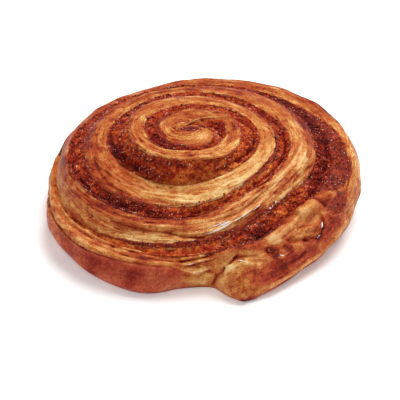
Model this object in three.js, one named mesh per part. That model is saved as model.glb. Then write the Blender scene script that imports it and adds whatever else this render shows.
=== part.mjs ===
// A cinnamon roll: one laminated dough strip coiled clockwise, as seen from above, from a hook in the
// middle to a tail folded over at the front right, with a cinnamon filling in the groove between its
// turns. Millimetres, +Z up, the front of the roll towards -Y, the underside on the plane Z = 0.
//
// Places along the coil are counted in turns: 0, 1, 2 and 3 point right, a quarter more is the front,
// a half is the left and three quarters is the back. Radii are from the start of the hook.
import * as THREE from 'three';

// Driving dimensions

const hookStart = [-7.8, 0.1];           // plan position of the start of the hook
const directions = 8;                    // rows below: right, front right, front, front left, left, ...
const hookTurn = -0.15;                  // where the groove starts
const tailTurn = 3.6;                    // where the tail of the strip thins out on the last turn

// The groove between neighbouring turns. Its inner edge ends the top of the inner turn and its outer
// edge starts the top of the turn outside it. One row for each turn of the groove.
const grooveInnerRadius = [
  [9.0, 14.3, 12.6, 10.6, 9.9, 10.8, 13.5, 17.3],
  [20.4, 24.5, 23.8, 21.6, 20.0, 23.9, 29.4, 31.8],
  [34.6, 33.0, 35.0, 37.5, 36.7, 37.9, 43.2, 49.6],
  [48.6, 43.0, 47.4, 48.2, 46.6, 49.2],
];
const grooveInnerHeight = [
  [35.8, 36.0, 36.0, 35.8, 35.5, 34.9, 34.2, 35.0],
  [36.0, 36.3, 38.0, 37.0, 35.5, 32.9, 30.3, 29.9],
  [29.5, 27.6, 25.8, 26.4, 27.0, 25.9, 24.5, 24.0],
  [23.5, 19.5, 16.2, 15.6, 15.2, 17.2],
];
const grooveOuterRadius = [
  [15.1, 16.6, 15.9, 13.8, 13.2, 14.7, 17.2, 22.6],
  [26.9, 26.4, 25.4, 24.9, 27.0, 27.9, 32.8, 36.2],
  [38.4, 34.9, 37.4, 40.3, 41.6, 41.1, 46.6, 54.6],
  [53.6, 47.6, 50.0, 49.4, 47.8, 50.3],
];
const grooveOuterHeight = [
  [35.8, 35.6, 35.5, 35.1, 34.8, 34.1, 33.5, 33.0],
  [32.3, 31.0, 27.6, 27.9, 29.3, 29.6, 29.3, 28.6],
  [27.8, 25.4, 22.6, 23.4, 24.5, 24.2, 23.4, 21.8],
  [20.6, 16.7, 14.9, 14.4, 14.0, 15.4],
];
// The hook in the middle: turn, inner and outer radius, inner and outer height.
const hook = [
  { turn: hookTurn, innerRadius: 0, outerRadius: 0, innerHeight: 35.6, outerHeight: 35.6 },
  { turn: -0.1, innerRadius: 1.6, outerRadius: 7.2, innerHeight: 35.7, outerHeight: 35.8 },
  { turn: -0.05, innerRadius: 4.4, outerRadius: 14.0, innerHeight: 35.8, outerHeight: 35.8 },
];
const coreHeight = 35.6;                 // top of the dough at the start of the hook
const coreMidHeight = 30;                // a point half way up the seam under the hook

// The outside of the last turn: crest where the top rolls over, rim where it is widest, neck under
// the rim, skirt below the neck, and foot on the plane that the roll stands on. Radius and height.
const outside = [
  { turn: 2.55, crest: [48.6, 16.8], rim: [50.6, 12], neck: [50.2, 8], skirt: [49.8, 4], foot: 48 },
  { turn: 2.625, crest: [49.4, 18.6], rim: [51.6, 13.2], neck: [51.2, 9], skirt: [50.6, 4], foot: 48.8 },
  { turn: 2.69, crest: [50.8, 19.5], rim: [53, 13.9], neck: [52.4, 9], skirt: [51.8, 4], foot: 50 },
  { turn: 2.75, crest: [53.6, 21.8], rim: [56.5, 15], neck: [55.5, 9], skirt: [54.5, 4], foot: 52.5 },
  { turn: 2.875, crest: [63.6, 20.8], rim: [67, 14], neck: [65.6, 8], skirt: [63.8, 4], foot: 61.6 },
  { turn: 2.9375, crest: [63.8, 20.3], rim: [67.1, 13.8], neck: [65.8, 8], skirt: [64, 4], foot: 61.7 },
  { turn: 3, crest: [62.4, 19.4], rim: [65.4, 13.4], neck: [64.8, 8], skirt: [63.4, 4], foot: 61 },
  { turn: 3.03, crest: [61.6, 17.7], rim: [64.4, 11.9], neck: [63.6, 7], skirt: [62, 3.5], foot: 59.6 },
  { turn: 3.0625, crest: [61.6, 15.5], rim: [64, 10], neck: [63, 6], skirt: [61.2, 3], foot: 58.4 },
  { turn: 3.125, crest: [59, 10.5], rim: [61.4, 6.5], neck: [60.8, 4], skirt: [59.8, 2], foot: 57.6 },
  { turn: 3.165, crest: [57.2, 10.8], rim: [61.5, 6], neck: [62, 4], skirt: [61.5, 2], foot: 60 },
  { turn: 3.192, crest: [55.6, 12.6], rim: [60.4, 8], neck: [62.6, 4.5], skirt: [62.6, 2], foot: 61.2 },
  { turn: 3.204, crest: [54.2, 12.8], rim: [57.4, 8.6], neck: [58.6, 4.8], skirt: [58.4, 2], foot: 56.6 },
  { turn: 3.215, crest: [52, 12.8], rim: [52.4, 8.4], neck: [52.2, 4.8], skirt: [52, 2], foot: 51 },
  { turn: 3.25, crest: [52, 13.6], rim: [53.2, 12.2], neck: [51.8, 8.5], skirt: [52.2, 4], foot: 50 },
  { turn: 3.29, crest: [52.8, 13.9], rim: [54.6, 12.6], neck: [53, 9.5], skirt: [56.4, 4], foot: 54.2 },
  { turn: 3.33, crest: [53.2, 14.1], rim: [55.4, 12.6], neck: [53, 9.5], skirt: [55.9, 4], foot: 53.6 },
  { turn: 3.375, crest: [53.2, 14.2], rim: [55.6, 12.4], neck: [52.8, 9.5], skirt: [54.2, 4], foot: 51.6 },
  { turn: 3.44, crest: [50.4, 14], rim: [52.4, 11.4], neck: [50, 8.5], skirt: [51.6, 4], foot: 49.8 },
  { turn: 3.5, crest: [48.4, 13.6], rim: [49.6, 10.2], neck: [48.8, 7.5], skirt: [49.4, 4], foot: 47.6 },
  { turn: tailTurn, crest: [50.2, 15.4], rim: [51, 11.6], neck: [50.8, 8], skirt: [50.4, 4], foot: 50.2 },
];

// How far the top of the strip arches above the straight line between its two edges, by turn.
const arch = [
  { turn: -1.15, rise: 0 },
  { turn: -0.9, rise: 0.5 },
  { turn: 0.5, rise: 0.9 },
  { turn: 1.5, rise: 1.5 },
  { turn: 2.25, rise: 1.9 },
  { turn: 2.6, rise: 1.9 },
  { turn: 2.75, rise: 1.0 },
  { turn: 3, rise: 0.7 },
  { turn: 3.15, rise: 1.8 },
  { turn: 3.25, rise: 0.4 },
  { turn: tailTurn, rise: 0.3 },
];
const archPower = 2.6;                   // above 2: a flatter top with rounder shoulders

// Blisters, ledges and hollows of the crust: where they are along and across the strip, how far they
// reach either way, and how high they rise.
const swells = [
  { name: 'blister on the tail', turn: 3.085, across: 0.3, reachTurn: 0.05, reachAcross: 0.36, rise: 3.2 },
  { name: 'second blister', turn: 3.135, across: 0.42, reachTurn: 0.035, reachAcross: 0.36, rise: 1.8 },
  { name: 'folded end', turn: 3.185, across: 0.62, reachTurn: 0.04, reachAcross: 0.42, rise: 2.4 },
  { name: 'hollow before the fold', turn: 3.15, across: 0.18, reachTurn: 0.03, reachAcross: 0.2, rise: -1.2 },
  { name: 'ledge at the front left', turn: 2.33, across: 0.52, reachTurn: 0.14, reachAcross: 0.13, rise: 0.9 },
  { name: 'cleft under the ledge', turn: 2.32, across: 0.7, reachTurn: 0.13, reachAcross: 0.1, rise: -0.9 },
  { name: 'ledge at the front right', turn: 2.13, across: 0.4, reachTurn: 0.1, reachAcross: 0.16, rise: 0.9 },
  { name: 'blister on the right', turn: 2.03, across: 0.6, reachTurn: 0.06, reachAcross: 0.3, rise: 1.0 },
  { name: 'groove behind the ledge', turn: 2.2, across: 0.78, reachTurn: 0.09, reachAcross: 0.12, rise: -0.8 },
  { name: 'bump on the left', turn: 1.42, across: 0.55, reachTurn: 0.07, reachAcross: 0.35, rise: 0.7 },
  { name: 'hollow at the front', turn: 1.28, across: 0.35, reachTurn: 0.06, reachAcross: 0.3, rise: -0.5 },
  { name: 'tongue inside the hook', turn: -0.88, across: 0.6, reachTurn: 0.12, reachAcross: 0.36, rise: 0.6 },
];

const fillingWall = 1.5;                 // thickness of the filling down between two turns
const gap = 0.3;                         // between the filling and the dough
const hookGap = 0.6;                     // added to it around the hook, where the groove runs outwards
const hookWall = 0.5;                    // wall under the inner edge in the hook, as a share of its radius
const undercut = 1.2;                    // depth at which the wall under the inner edge starts
const shoulderDepth = 1.2;               // depth of the shoulder under the outer edge of the groove
const shoulderSlope = 0.9;               // and how much deeper for each millimetre of its width
const tipInset = 0.08;                   // share of the shoulder that the filling leaves bare
const tipHeight = 0.35;                  // thickness of the filling at that tip
const fillingDrop = 0.5;                 // filling below the inner edge of the groove
const dish = 0.12;                       // hollow of the filling, as a share of the groove's width
const fillingFoot = 0.4;                 // underside of the filling above the plane of the roll
const fillingStart = -0.105;             // where the filling starts beside the seam of the hook
const fillingEnd = 3.54;                 // where it ends under the tail
const tailThinning = 0.07;               // turns over which the tail thins out
const tailLeft = 0.6;                    // share of its thickness left at the very end
const seamBlend = 0.03;                  // turns over which the last turn takes over the outside

const stationsPerTurn = 48;
const extraStations = [hookTurn, -0.115, -0.094, -0.073, -0.052, -0.03, 3.178, 3.198, 3.204, 3.21, 3.216];
const leastStep = 0.0055;                // fewest turns between neighbouring sections
const seamStep = 0.02;                   // turns without a section where the groove leaves the axis
const startStep = 0.05;                  // and where the strip does, so that the two stay apart
const topPoints = 9;                     // points across the top between its two edges

// Functions

function smoothstep(from, to, x) {
  const s = Math.min(1, Math.max(0, (x - from) / (to - from)));
  return s * s * (3 - 2 * s);
}

function mix(a, b, s) {
  return a + (b - a) * s;
}

// A smooth curve through [place, value] pairs.
function curveThrough(pairs) {
  const slope = (i) => {
    const before = pairs[Math.max(0, i - 1)];
    const after = pairs[Math.min(pairs.length - 1, i + 1)];
    return (after[1] - before[1]) / (after[0] - before[0]);
  };
  return (x) => {
    if (x <= pairs[0][0]) return pairs[0][1];
    if (x >= pairs[pairs.length - 1][0]) return pairs[pairs.length - 1][1];
    let i = 0;
    while (pairs[i + 1][0] < x) i += 1;
    const width = pairs[i + 1][0] - pairs[i][0];
    const s = (x - pairs[i][0]) / width;
    const s2 = s * s;
    const s3 = s2 * s;
    return (2 * s3 - 3 * s2 + 1) * pairs[i][1] + (s3 - 2 * s2 + s) * slope(i) * width
      + (3 * s2 - 2 * s3) * pairs[i + 1][1] + (s3 - s2) * slope(i + 1) * width;
  };
}

function grooveCurve(rows, hookKey) {
  const pairs = hook.map((h) => [h.turn, h[hookKey]]);
  rows.flat().forEach((value, i) => pairs.push([i / directions, value]));
  return curveThrough(pairs);
}

const innerRadius = grooveCurve(grooveInnerRadius, 'innerRadius');
const innerHeight = grooveCurve(grooveInnerHeight, 'innerHeight');
const outerRadius = grooveCurve(grooveOuterRadius, 'outerRadius');
const outerHeight = grooveCurve(grooveOuterHeight, 'outerHeight');
const archRise = curveThrough(arch.map((a) => [a.turn, a.rise]));
const outsideCurve = (key, axis) => curveThrough(outside.map((o) => [o.turn, o[key][axis]]));
const outsideParts = ['crest', 'rim', 'neck', 'skirt'].map((key) => [outsideCurve(key, 0), outsideCurve(key, 1)]);
const footRadius = curveThrough(outside.map((o) => [o.turn, o.foot]));

// The two walls of the groove at a turn, the gap beside the filling and the shoulder outside it.
function groove(turn) {
  const inHook = 1 - smoothstep(-0.02, 0.1, turn);
  const space = gap + hookGap * inHook;
  const edge = innerRadius(turn);
  const far = outerRadius(turn);
  const width = Math.max(fillingWall + 2 * space, 0.72 * (far - edge) * inHook);
  const wall = Math.max(hookWall * edge, Math.min(edge - 0.2, far - width - 0.3));
  const opposite = Math.min(wall + width, Math.max(far - 0.2, 0));
  const shoulder = far - opposite;
  return {
    edge,
    edgeHeight: innerHeight(turn),
    far,
    farHeight: outerHeight(turn),
    space,
    wall,
    opposite,
    shoulder,
    depth: shoulderDepth + shoulderSlope * shoulder,
  };
}

// Height that the crust adds to the top of the strip.
function crust(turn, across) {
  let rise = archRise(turn) * (1 - Math.abs(2 * across - 1) ** archPower);
  for (const swell of swells) {
    const along = Math.abs(turn - swell.turn) / swell.reachTurn;
    const aside = Math.abs(across - swell.across) / swell.reachAcross;
    if (along < 1 && aside < 1) {
      rise += swell.rise * 0.25 * (1 + Math.cos(Math.PI * along)) * (1 + Math.cos(Math.PI * aside));
    }
  }
  return rise;
}

// Section of the strip in the plane of one turn, as [radius, height] from its inner foot, up, over the
// top and down to its outer foot.
function doughSection(turn) {
  const core = turn <= hookTurn;
  const inside = core ? null : groove(turn);
  const start = core ? [0, coreHeight] : [inside.far, inside.farHeight];
  const section = core
    ? [[0, 0], [0, coreMidHeight], start]
    : [[inside.opposite, 0], [inside.opposite, inside.farHeight - inside.depth], start];

  const next = groove(Math.min(turn + 1, tailTurn));
  const wallHeight = next.edgeHeight - undercut;
  let side = [
    [next.edge, next.edgeHeight],
    [next.wall, wallHeight],
    [next.wall, wallHeight * 0.66],
    [next.wall, wallHeight * 0.33],
    [next.wall, 0],
  ];
  const open = smoothstep(tailTurn - 1 - 0.01, tailTurn - 1 + seamBlend, turn);
  if (open > 0) {
    const bare = [...outsideParts.map(([radius, height]) => [radius(turn), height(turn)]), [footRadius(turn), 0]];
    side = side.map((point, i) => [mix(point[0], bare[i][0], open), mix(point[1], bare[i][1], open)]);
  }
  const thin = mix(1, tailLeft, smoothstep(tailTurn - tailThinning, tailTurn, turn));
  if (thin < 1) {
    side = side.map(([radius, height]) => [mix(inside.opposite + 0.3, radius, thin), height]);
    section[2] = [mix(inside.opposite, inside.far, thin), inside.farHeight];
  }

  const [from, to] = [section[2], side[0]];
  for (let i = 1; i <= topPoints; i += 1) {
    const across = i / (topPoints + 1);
    const grown = smoothstep(hookTurn - 1, hookTurn - 0.95, turn);
    section.push([
      mix(from[0], to[0], across),
      mix(from[1], to[1], across) + crust(turn, across) * thin * grown,
    ]);
  }
  return [...section, ...side];
}

// Section of the filling in the plane of one turn.
function fillingSection(turn) {
  const at = groove(turn);
  const slant = Math.hypot(at.shoulder, at.depth);
  const offset = [-at.space * at.depth / slant, at.space * at.shoulder / slant];
  const onShoulder = (share) => [
    at.opposite + share * at.shoulder + offset[0],
    at.farHeight - at.depth + share * at.depth + offset[1],
  ];
  const tip = onShoulder(1 - tipInset);
  const top = [at.edge + at.space, at.edgeHeight - fillingDrop];
  const over = [tip[0] - 0.15, tip[1] + tipHeight];
  const wall = at.wall + at.space;
  return [
    [wall, fillingFoot],
    [wall, at.edgeHeight - undercut - at.space],
    top,
    [mix(top[0], over[0], 0.5), mix(top[1], over[1], 0.5) - dish * (at.far - at.edge)],
    over,
    tip,
    [at.opposite - at.space, at.farHeight - at.depth],
    [at.opposite - at.space, fillingFoot],
  ];
}

function turnsBetween(first, last) {
  const turns = [first, last];
  for (let i = Math.ceil(first * stationsPerTurn); i < last * stationsPerTurn; i += 1) {
    turns.push(i / stationsPerTurn);
  }
  for (const extra of extraStations) {
    turns.push(extra, extra - 1);
  }
  const kept = [first];
  for (const turn of turns.sort((a, b) => a - b)) {
    if (turn - kept[kept.length - 1] > leastStep && last - turn > leastStep) kept.push(turn);
  }
  return [...kept, last];
}

function pointAt(turn, [radius, height]) {
  const angle = -2 * Math.PI * turn;
  return new THREE.Vector3(
    hookStart[0] + radius * Math.cos(angle),
    hookStart[1] + radius * Math.sin(angle),
    height,
  );
}

// A closed body from sections with the same number of points. The axis vertices are shared by every
// section that starts on the axis.
function bodyFrom(turns, sectionOf, axisSlots) {
  const points = [];
  const indexOf = [];
  const axis = new Map();
  turns.forEach((turn) => {
    const row = sectionOf(turn).map(([radius, height], i) => {
      const slot = axisSlots ? axisSlots(turn, i) : null;
      if (slot === null) {
        return points.push(pointAt(turn, [radius, height])) - 1;
      }
      if (!axis.has(slot)) {
        axis.set(slot, points.push(pointAt(0, [0, slot])) - 1);
      }
      return axis.get(slot);
    });
    indexOf.push(row);
  });

  const triangles = [];
  const add = (a, b, c) => {
    if (a !== b && b !== c && c !== a) triangles.push([a, b, c]);
  };
  for (let s = 0; s + 1 < indexOf.length; s += 1) {
    const [here, there] = [indexOf[s], indexOf[s + 1]];
    here.forEach((_, i) => {
      const j = (i + 1) % here.length;
      add(here[i], there[i], there[j]);
      add(here[i], there[j], here[j]);
    });
  }
  const cap = (row, section, flipped) => {
    const outline = section.map(([radius, height]) => new THREE.Vector2(radius, height));
    for (const [a, b, c] of THREE.ShapeUtils.triangulateShape(outline, [])) {
      if (flipped) add(row[a], row[c], row[b]);
      else add(row[a], row[b], row[c]);
    }
  };
  if (!axisSlots) cap(indexOf[0], sectionOf(turns[0]), true);
  cap(indexOf[indexOf.length - 1], sectionOf(turns[turns.length - 1]), false);

  const positions = points.flatMap((point) => point.toArray());
  let volume = 0;
  for (const [a, b, c] of triangles) {
    volume += points[a].dot(new THREE.Vector3().crossVectors(points[b], points[c]));
  }
  const outward = volume > 0 ? triangles : triangles.map(([a, b, c]) => [a, c, b]);
  const geometry = new THREE.BufferGeometry();
  geometry.setAttribute('position', new THREE.Float32BufferAttribute(positions, 3));
  geometry.setIndex(outward.flat());
  geometry.computeVertexNormals();
  return geometry;
}

// Dough and filling

const lastSidePoint = 3 + topPoints;
const doughAxis = (turn, i) => {
  if (turn > hookTurn) return null;
  const opening = turn <= hookTurn - 1;
  if (i === 0) return 0;
  if (i === 1) return coreMidHeight;
  if (i === 2) return coreHeight;
  if (!opening) return null;
  return i <= lastSidePoint + 1 ? coreMidHeight : 0;
};
const openingTurn = hookTurn - 1;
const bareTurn = (turn) => (turn > openingTurn && turn < openingTurn + startStep)
  || (turn > hookTurn && turn < hookTurn + seamStep);
const doughTurns = turnsBetween(openingTurn, tailTurn).filter((turn) => !bareTurn(turn));
const dough = bodyFrom(doughTurns, doughSection, doughAxis);
const filling = bodyFrom(turnsBetween(fillingStart, fillingEnd), fillingSection, null);

// The group, with its origin under the middle of the roll

dough.computeBoundingBox();
const centre = dough.boundingBox.getCenter(new THREE.Vector3());
dough.translate(-centre.x, -centre.y, 0);
filling.translate(-centre.x, -centre.y, 0);

function piece(name, geometry, colour, roughness) {
  const mesh = new THREE.Mesh(
    geometry,
    new THREE.MeshStandardMaterial({ color: colour, roughness, metalness: 0 }),
  );
  mesh.name = name;
  return mesh;
}

const cinnamonRoll = new THREE.Group();
cinnamonRoll.name = 'cinnamon_roll';
cinnamonRoll.add(piece('dough', dough, 0xc9853f, 0.55));
cinnamonRoll.add(piece('filling', filling, 0x5a2417, 0.5));

export default cinnamonRoll;
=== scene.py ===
import bmesh
import bpy
import numpy as np
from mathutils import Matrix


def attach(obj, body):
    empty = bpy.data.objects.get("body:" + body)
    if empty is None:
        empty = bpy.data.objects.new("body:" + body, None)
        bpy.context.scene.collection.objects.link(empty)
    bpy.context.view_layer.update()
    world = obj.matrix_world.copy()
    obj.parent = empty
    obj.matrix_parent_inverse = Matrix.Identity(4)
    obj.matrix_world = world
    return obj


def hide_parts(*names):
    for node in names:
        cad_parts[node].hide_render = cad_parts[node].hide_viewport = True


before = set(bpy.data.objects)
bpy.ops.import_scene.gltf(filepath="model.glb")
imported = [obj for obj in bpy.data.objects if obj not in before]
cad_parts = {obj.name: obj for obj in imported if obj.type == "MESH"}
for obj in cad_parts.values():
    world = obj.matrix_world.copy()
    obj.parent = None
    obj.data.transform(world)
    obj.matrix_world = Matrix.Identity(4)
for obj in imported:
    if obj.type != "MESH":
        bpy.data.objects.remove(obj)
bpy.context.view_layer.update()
metre = 0.001
print("frame loaded")

# Camera, lights and floor. Places are in millimetres, sizes of lights and floor in metres.

view = {
    "target": (-1.6, 0.9, 3.0),
    "distance": 950.0,
    "elevation": 35.0,
    "lens": 230.85,
}
studio = {
    "keyPlace": (260, 320, 900),
    "keySize": 0.8,
    "keyPower": 11.5,
    "keyColour": (1.0, 0.985, 0.96),
    "fillPlace": (-520, -620, 620),
    "fillSize": 0.9,
    "fillPower": 2.2,
    "fillColour": (0.97, 0.985, 1.0),
    "aim": (0, 0, 15),
    "skyStrength": 0.32,
    "floorSize": 6.0,
    "floorGlow": 0.22,
}


def aimAt(piece, target):
    direction = np.array(target) * metre - np.array(piece.location)
    flat = np.hypot(direction[0], direction[1])
    piece.rotation_euler = (np.arctan2(flat, -direction[2]), 0, np.arctan2(-direction[0], direction[1]))


def makeCamera():
    camera = bpy.data.objects.new("camera", bpy.data.cameras.new("camera"))
    bpy.context.scene.collection.objects.link(camera)
    rise = np.radians(view["elevation"])
    away = np.array([0, -np.cos(rise), np.sin(rise)]) * view["distance"]
    camera.location = (np.array(view["target"]) + away) * metre
    aimAt(camera, view["target"])
    camera.data.lens = view["lens"]
    camera.data.sensor_width = 36
    camera.data.clip_end = 20
    bpy.context.scene.camera = camera


def softLight(name):
    light = bpy.data.objects.new(name, bpy.data.lights.new(name, "AREA"))
    bpy.context.scene.collection.objects.link(light)
    light.data.shape = "DISK"
    light.data.size = studio[name + "Size"]
    light.data.energy = studio[name + "Power"]
    light.data.color = studio[name + "Colour"]
    light.location = np.array(studio[name + "Place"]) * metre
    aimAt(light, studio["aim"])


makeCamera()
softLight("key")
softLight("fill")
sky = bpy.data.worlds.new("sky")
bpy.context.scene.world = sky
sky.use_nodes = True
skyInputs = sky.node_tree.nodes["Background"].inputs
skyInputs["Color"].default_value = (1, 1, 1, 1)
skyInputs["Strength"].default_value = studio["skyStrength"]
bpy.context.scene.view_settings.view_transform = "Standard"
bpy.context.scene.view_settings.look = "None"
print("camera and lights made")

# The coil. Places along it are counted in turns: whole numbers point right, a quarter more is the
# front, a half the left. Radii are from the start of the hook in the middle.

coil = {
    "hookStart": (-7.8, 0.1),
    "hookTurn": -0.15,
    "tailTurn": 3.6,
    "startStep": 0.05,
    "seamStep": 0.02,
    "seamRoom": 0.004,
    "tailThinning": 0.07,
    "tailLeft": 0.6,
    "seamBlend": 0.03,
    "coreHeight": 35.6,
    "coreMidHeight": 30.0,
    "fillingWall": 1.5,
    "gap": 0.3,
    "hookGap": 0.6,
    "hookWall": 0.5,
    "hookFilling": 0.72,
    "hookEnd": (-0.02, 0.1),
    "wallRoom": 0.2,
    "shoulderRoom": 0.3,
    "tailFoot": 0.3,
    "undercut": 1.2,
    "shoulderDepth": 1.2,
    "shoulderSlope": 0.9,
    "archPower": 2.6,
}
# The next four tables repeat the part's source. Most of their values were printed by a separate
# script, from edges traced by hand in the photo and from estimated heights.
# One row for each turn of the groove: right, front right, front, front left, left, back left, ...
grooveInnerRadius = [
    [9.0, 14.3, 12.6, 10.6, 9.9, 10.8, 13.5, 17.3],
    [20.4, 24.5, 23.8, 21.6, 20.0, 23.9, 29.4, 31.8],
    [34.6, 33.0, 35.0, 37.5, 36.7, 37.9, 43.2, 49.6],
    [48.6, 43.0, 47.4, 48.2, 46.6, 49.2],
]
grooveInnerHeight = [
    [35.8, 36.0, 36.0, 35.8, 35.5, 34.9, 34.2, 35.0],
    [36.0, 36.3, 38.0, 37.0, 35.5, 32.9, 30.3, 29.9],
    [29.5, 27.6, 25.8, 26.4, 27.0, 25.9, 24.5, 24.0],
    [23.5, 19.5, 16.2, 15.6, 15.2, 17.2],
]
grooveOuterRadius = [
    [15.1, 16.6, 15.9, 13.8, 13.2, 14.7, 17.2, 22.6],
    [26.9, 26.4, 25.4, 24.9, 27.0, 27.9, 32.8, 36.2],
    [38.4, 34.9, 37.4, 40.3, 41.6, 41.1, 46.6, 54.6],
    [53.6, 47.6, 50.0, 49.4, 47.8, 50.3],
]
grooveOuterHeight = [
    [35.8, 35.6, 35.5, 35.1, 34.8, 34.1, 33.5, 33.0],
    [32.3, 31.0, 27.6, 27.9, 29.3, 29.6, 29.3, 28.6],
    [27.8, 25.4, 22.6, 23.4, 24.5, 24.2, 23.4, 21.8],
    [20.6, 16.7, 14.9, 14.4, 14.0, 15.4],
]
# turn, inner and outer radius, inner and outer height where the groove leaves the middle
hookRows = [(-0.15, 0, 0, 35.6, 35.6), (-0.1, 1.6, 7.2, 35.7, 35.8), (-0.05, 4.4, 14.0, 35.8, 35.8)]
# turn, then radius and height of the crest, rim, neck and skirt, and the radius of the foot
outsideRows = [
    (2.55, 48.6, 16.8, 50.6, 12, 50.2, 8, 49.8, 4, 48),
    (2.625, 49.4, 18.6, 51.6, 13.2, 51.2, 9, 50.6, 4, 48.8),
    (2.69, 50.8, 19.5, 53, 13.9, 52.4, 9, 51.8, 4, 50),
    (2.75, 53.6, 21.8, 56.5, 15, 55.5, 9, 54.5, 4, 52.5),
    (2.875, 63.6, 20.8, 67, 14, 65.6, 8, 63.8, 4, 61.6),
    (2.9375, 63.8, 20.3, 67.1, 13.8, 65.8, 8, 64, 4, 61.7),
    (3, 62.4, 19.4, 65.4, 13.4, 64.8, 8, 63.4, 4, 61),
    (3.03, 61.6, 17.7, 64.4, 11.9, 63.6, 7, 62, 3.5, 59.6),
    (3.0625, 61.6, 15.5, 64, 10, 63, 6, 61.2, 3, 58.4),
    (3.125, 59, 10.5, 61.4, 6.5, 60.8, 4, 59.8, 2, 57.6),
    (3.165, 57.2, 10.8, 61.5, 6, 62, 4, 61.5, 2, 60),
    (3.192, 55.6, 12.6, 60.4, 8, 62.6, 4.5, 62.6, 2, 61.2),
    (3.204, 54.2, 12.8, 57.4, 8.6, 58.6, 4.8, 58.4, 2, 56.6),
    (3.215, 52, 12.8, 52.4, 8.4, 52.2, 4.8, 52, 2, 51),
    (3.25, 52, 13.6, 53.2, 12.2, 51.8, 8.5, 52.2, 4, 50),
    (3.29, 52.8, 13.9, 54.6, 12.6, 53, 9.5, 56.4, 4, 54.2),
    (3.33, 53.2, 14.1, 55.4, 12.6, 53, 9.5, 55.9, 4, 53.6),
    (3.375, 53.2, 14.2, 55.6, 12.4, 52.8, 9.5, 54.2, 4, 51.6),
    (3.44, 50.4, 14, 52.4, 11.4, 50, 8.5, 51.6, 4, 49.8),
    (3.5, 48.4, 13.6, 49.6, 10.2, 48.8, 7.5, 49.4, 4, 47.6),
    (3.6, 50.2, 15.4, 51, 11.6, 50.8, 8, 50.4, 4, 50.2),
]
# how far the top of the strip arches above the straight line between its edges
archRows = [(-1.15, 0), (-0.9, 0.5), (0.5, 0.9), (1.5, 1.5), (2.25, 1.9), (2.6, 1.9), (2.75, 1.0), (3, 0.7),
            (3.15, 1.8), (3.25, 0.4), (3.6, 0.3)]
# name, turn, place across the strip, reach along in turns, reach across, rise
swells = [
    ("blister on the tail", 3.085, 0.3, 0.05, 0.36, 3.2),
    ("second blister", 3.135, 0.42, 0.035, 0.36, 1.8),
    ("folded end", 3.185, 0.62, 0.04, 0.42, 2.4),
    ("hollow before the fold", 3.15, 0.18, 0.03, 0.2, -1.2),
    ("ledge at the front left", 2.33, 0.52, 0.14, 0.13, 0.9),
    ("cleft under the ledge", 2.32, 0.7, 0.13, 0.1, -0.9),
    ("ledge at the front right", 2.13, 0.4, 0.1, 0.16, 0.9),
    ("blister on the right", 2.03, 0.6, 0.06, 0.3, 1.0),
    ("groove behind the ledge", 2.2, 0.78, 0.09, 0.12, -0.8),
    ("bump on the left", 1.42, 0.55, 0.07, 0.35, 0.7),
    ("hollow at the front", 1.28, 0.35, 0.06, 0.3, -0.5),
    ("tongue inside the hook", -0.88, 0.6, 0.12, 0.36, 0.6),
]


def smoothstep(low, high, x):
    s = np.clip((x - low) / (high - low), 0, 1)
    return s * s * (3 - 2 * s)


def mix(a, b, s):
    return a + (b - a) * s


def hermite(low, high, start, end, s):
    return ((2 * s**3 - 3 * s**2 + 1) * low + (s**3 - 2 * s**2 + s) * start
            + (3 * s**2 - 2 * s**3) * high + (s**3 - s**2) * end)


def curveThrough(rows, column=1):
    # a smooth curve through the first column of the rows and the chosen one
    places = np.array([row[0] for row in rows], float)
    values = np.array([row[column] for row in rows], float)
    slopes = np.empty(len(values))
    slopes[1:-1] = (values[2:] - values[:-2]) / (places[2:] - places[:-2])
    slopes[0] = (values[1] - values[0]) / (places[1] - places[0])
    slopes[-1] = (values[-1] - values[-2]) / (places[-1] - places[-2])

    def at(x):
        x = np.clip(np.asarray(x, float), places[0], places[-1])
        k = np.clip(np.searchsorted(places, x, side="right") - 1, 0, len(places) - 2)
        width = places[k + 1] - places[k]
        s = (x - places[k]) / width
        return hermite(values[k], values[k + 1], slopes[k] * width, slopes[k + 1] * width, s)

    return at


def grooveCurve(rows, hookColumn):
    pairs = [(row[0], row[hookColumn]) for row in hookRows]
    pairs += [(i / 8, value) for i, value in enumerate(sum(rows, []))]
    return curveThrough(pairs)


innerRadius = grooveCurve(grooveInnerRadius, 1)
outerRadius = grooveCurve(grooveOuterRadius, 2)
innerHeight = grooveCurve(grooveInnerHeight, 3)
outerHeight = grooveCurve(grooveOuterHeight, 4)
archRise = curveThrough(archRows)


def groove(turn):
    # the two walls of the groove, the gap beside the filling and the shoulder outside it
    inHook = 1 - smoothstep(*coil["hookEnd"], turn)
    space = coil["gap"] + coil["hookGap"] * inHook
    edge, far = innerRadius(turn), outerRadius(turn)
    room = coil["wallRoom"]
    width = np.maximum(coil["fillingWall"] + 2 * space, coil["hookFilling"] * (far - edge) * inHook)
    wall = np.minimum(edge - room, far - width - coil["shoulderRoom"])
    wall = np.maximum(coil["hookWall"] * edge, wall)
    opposite = np.minimum(wall + width, np.maximum(far - room, 0))
    shoulder = far - opposite
    return {
        "edge": edge,
        "edgeHeight": innerHeight(turn),
        "far": far,
        "farHeight": outerHeight(turn),
        "space": space,
        "wall": wall,
        "opposite": opposite,
        "shoulder": shoulder,
        "depth": coil["shoulderDepth"] + coil["shoulderSlope"] * shoulder,
    }


def crust(turn, across):
    rise = archRise(turn) * (1 - np.abs(2 * across - 1) ** coil["archPower"])
    for _, place, aside, reachTurn, reachAcross, height in swells:
        along = np.clip(np.abs(turn - place) / reachTurn, 0, 1)
        side = np.clip(np.abs(across - aside) / reachAcross, 0, 1)
        rise = rise + height * 0.25 * (1 + np.cos(np.pi * along)) * (1 + np.cos(np.pi * side))
    return rise


noiseTable = 256


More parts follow.
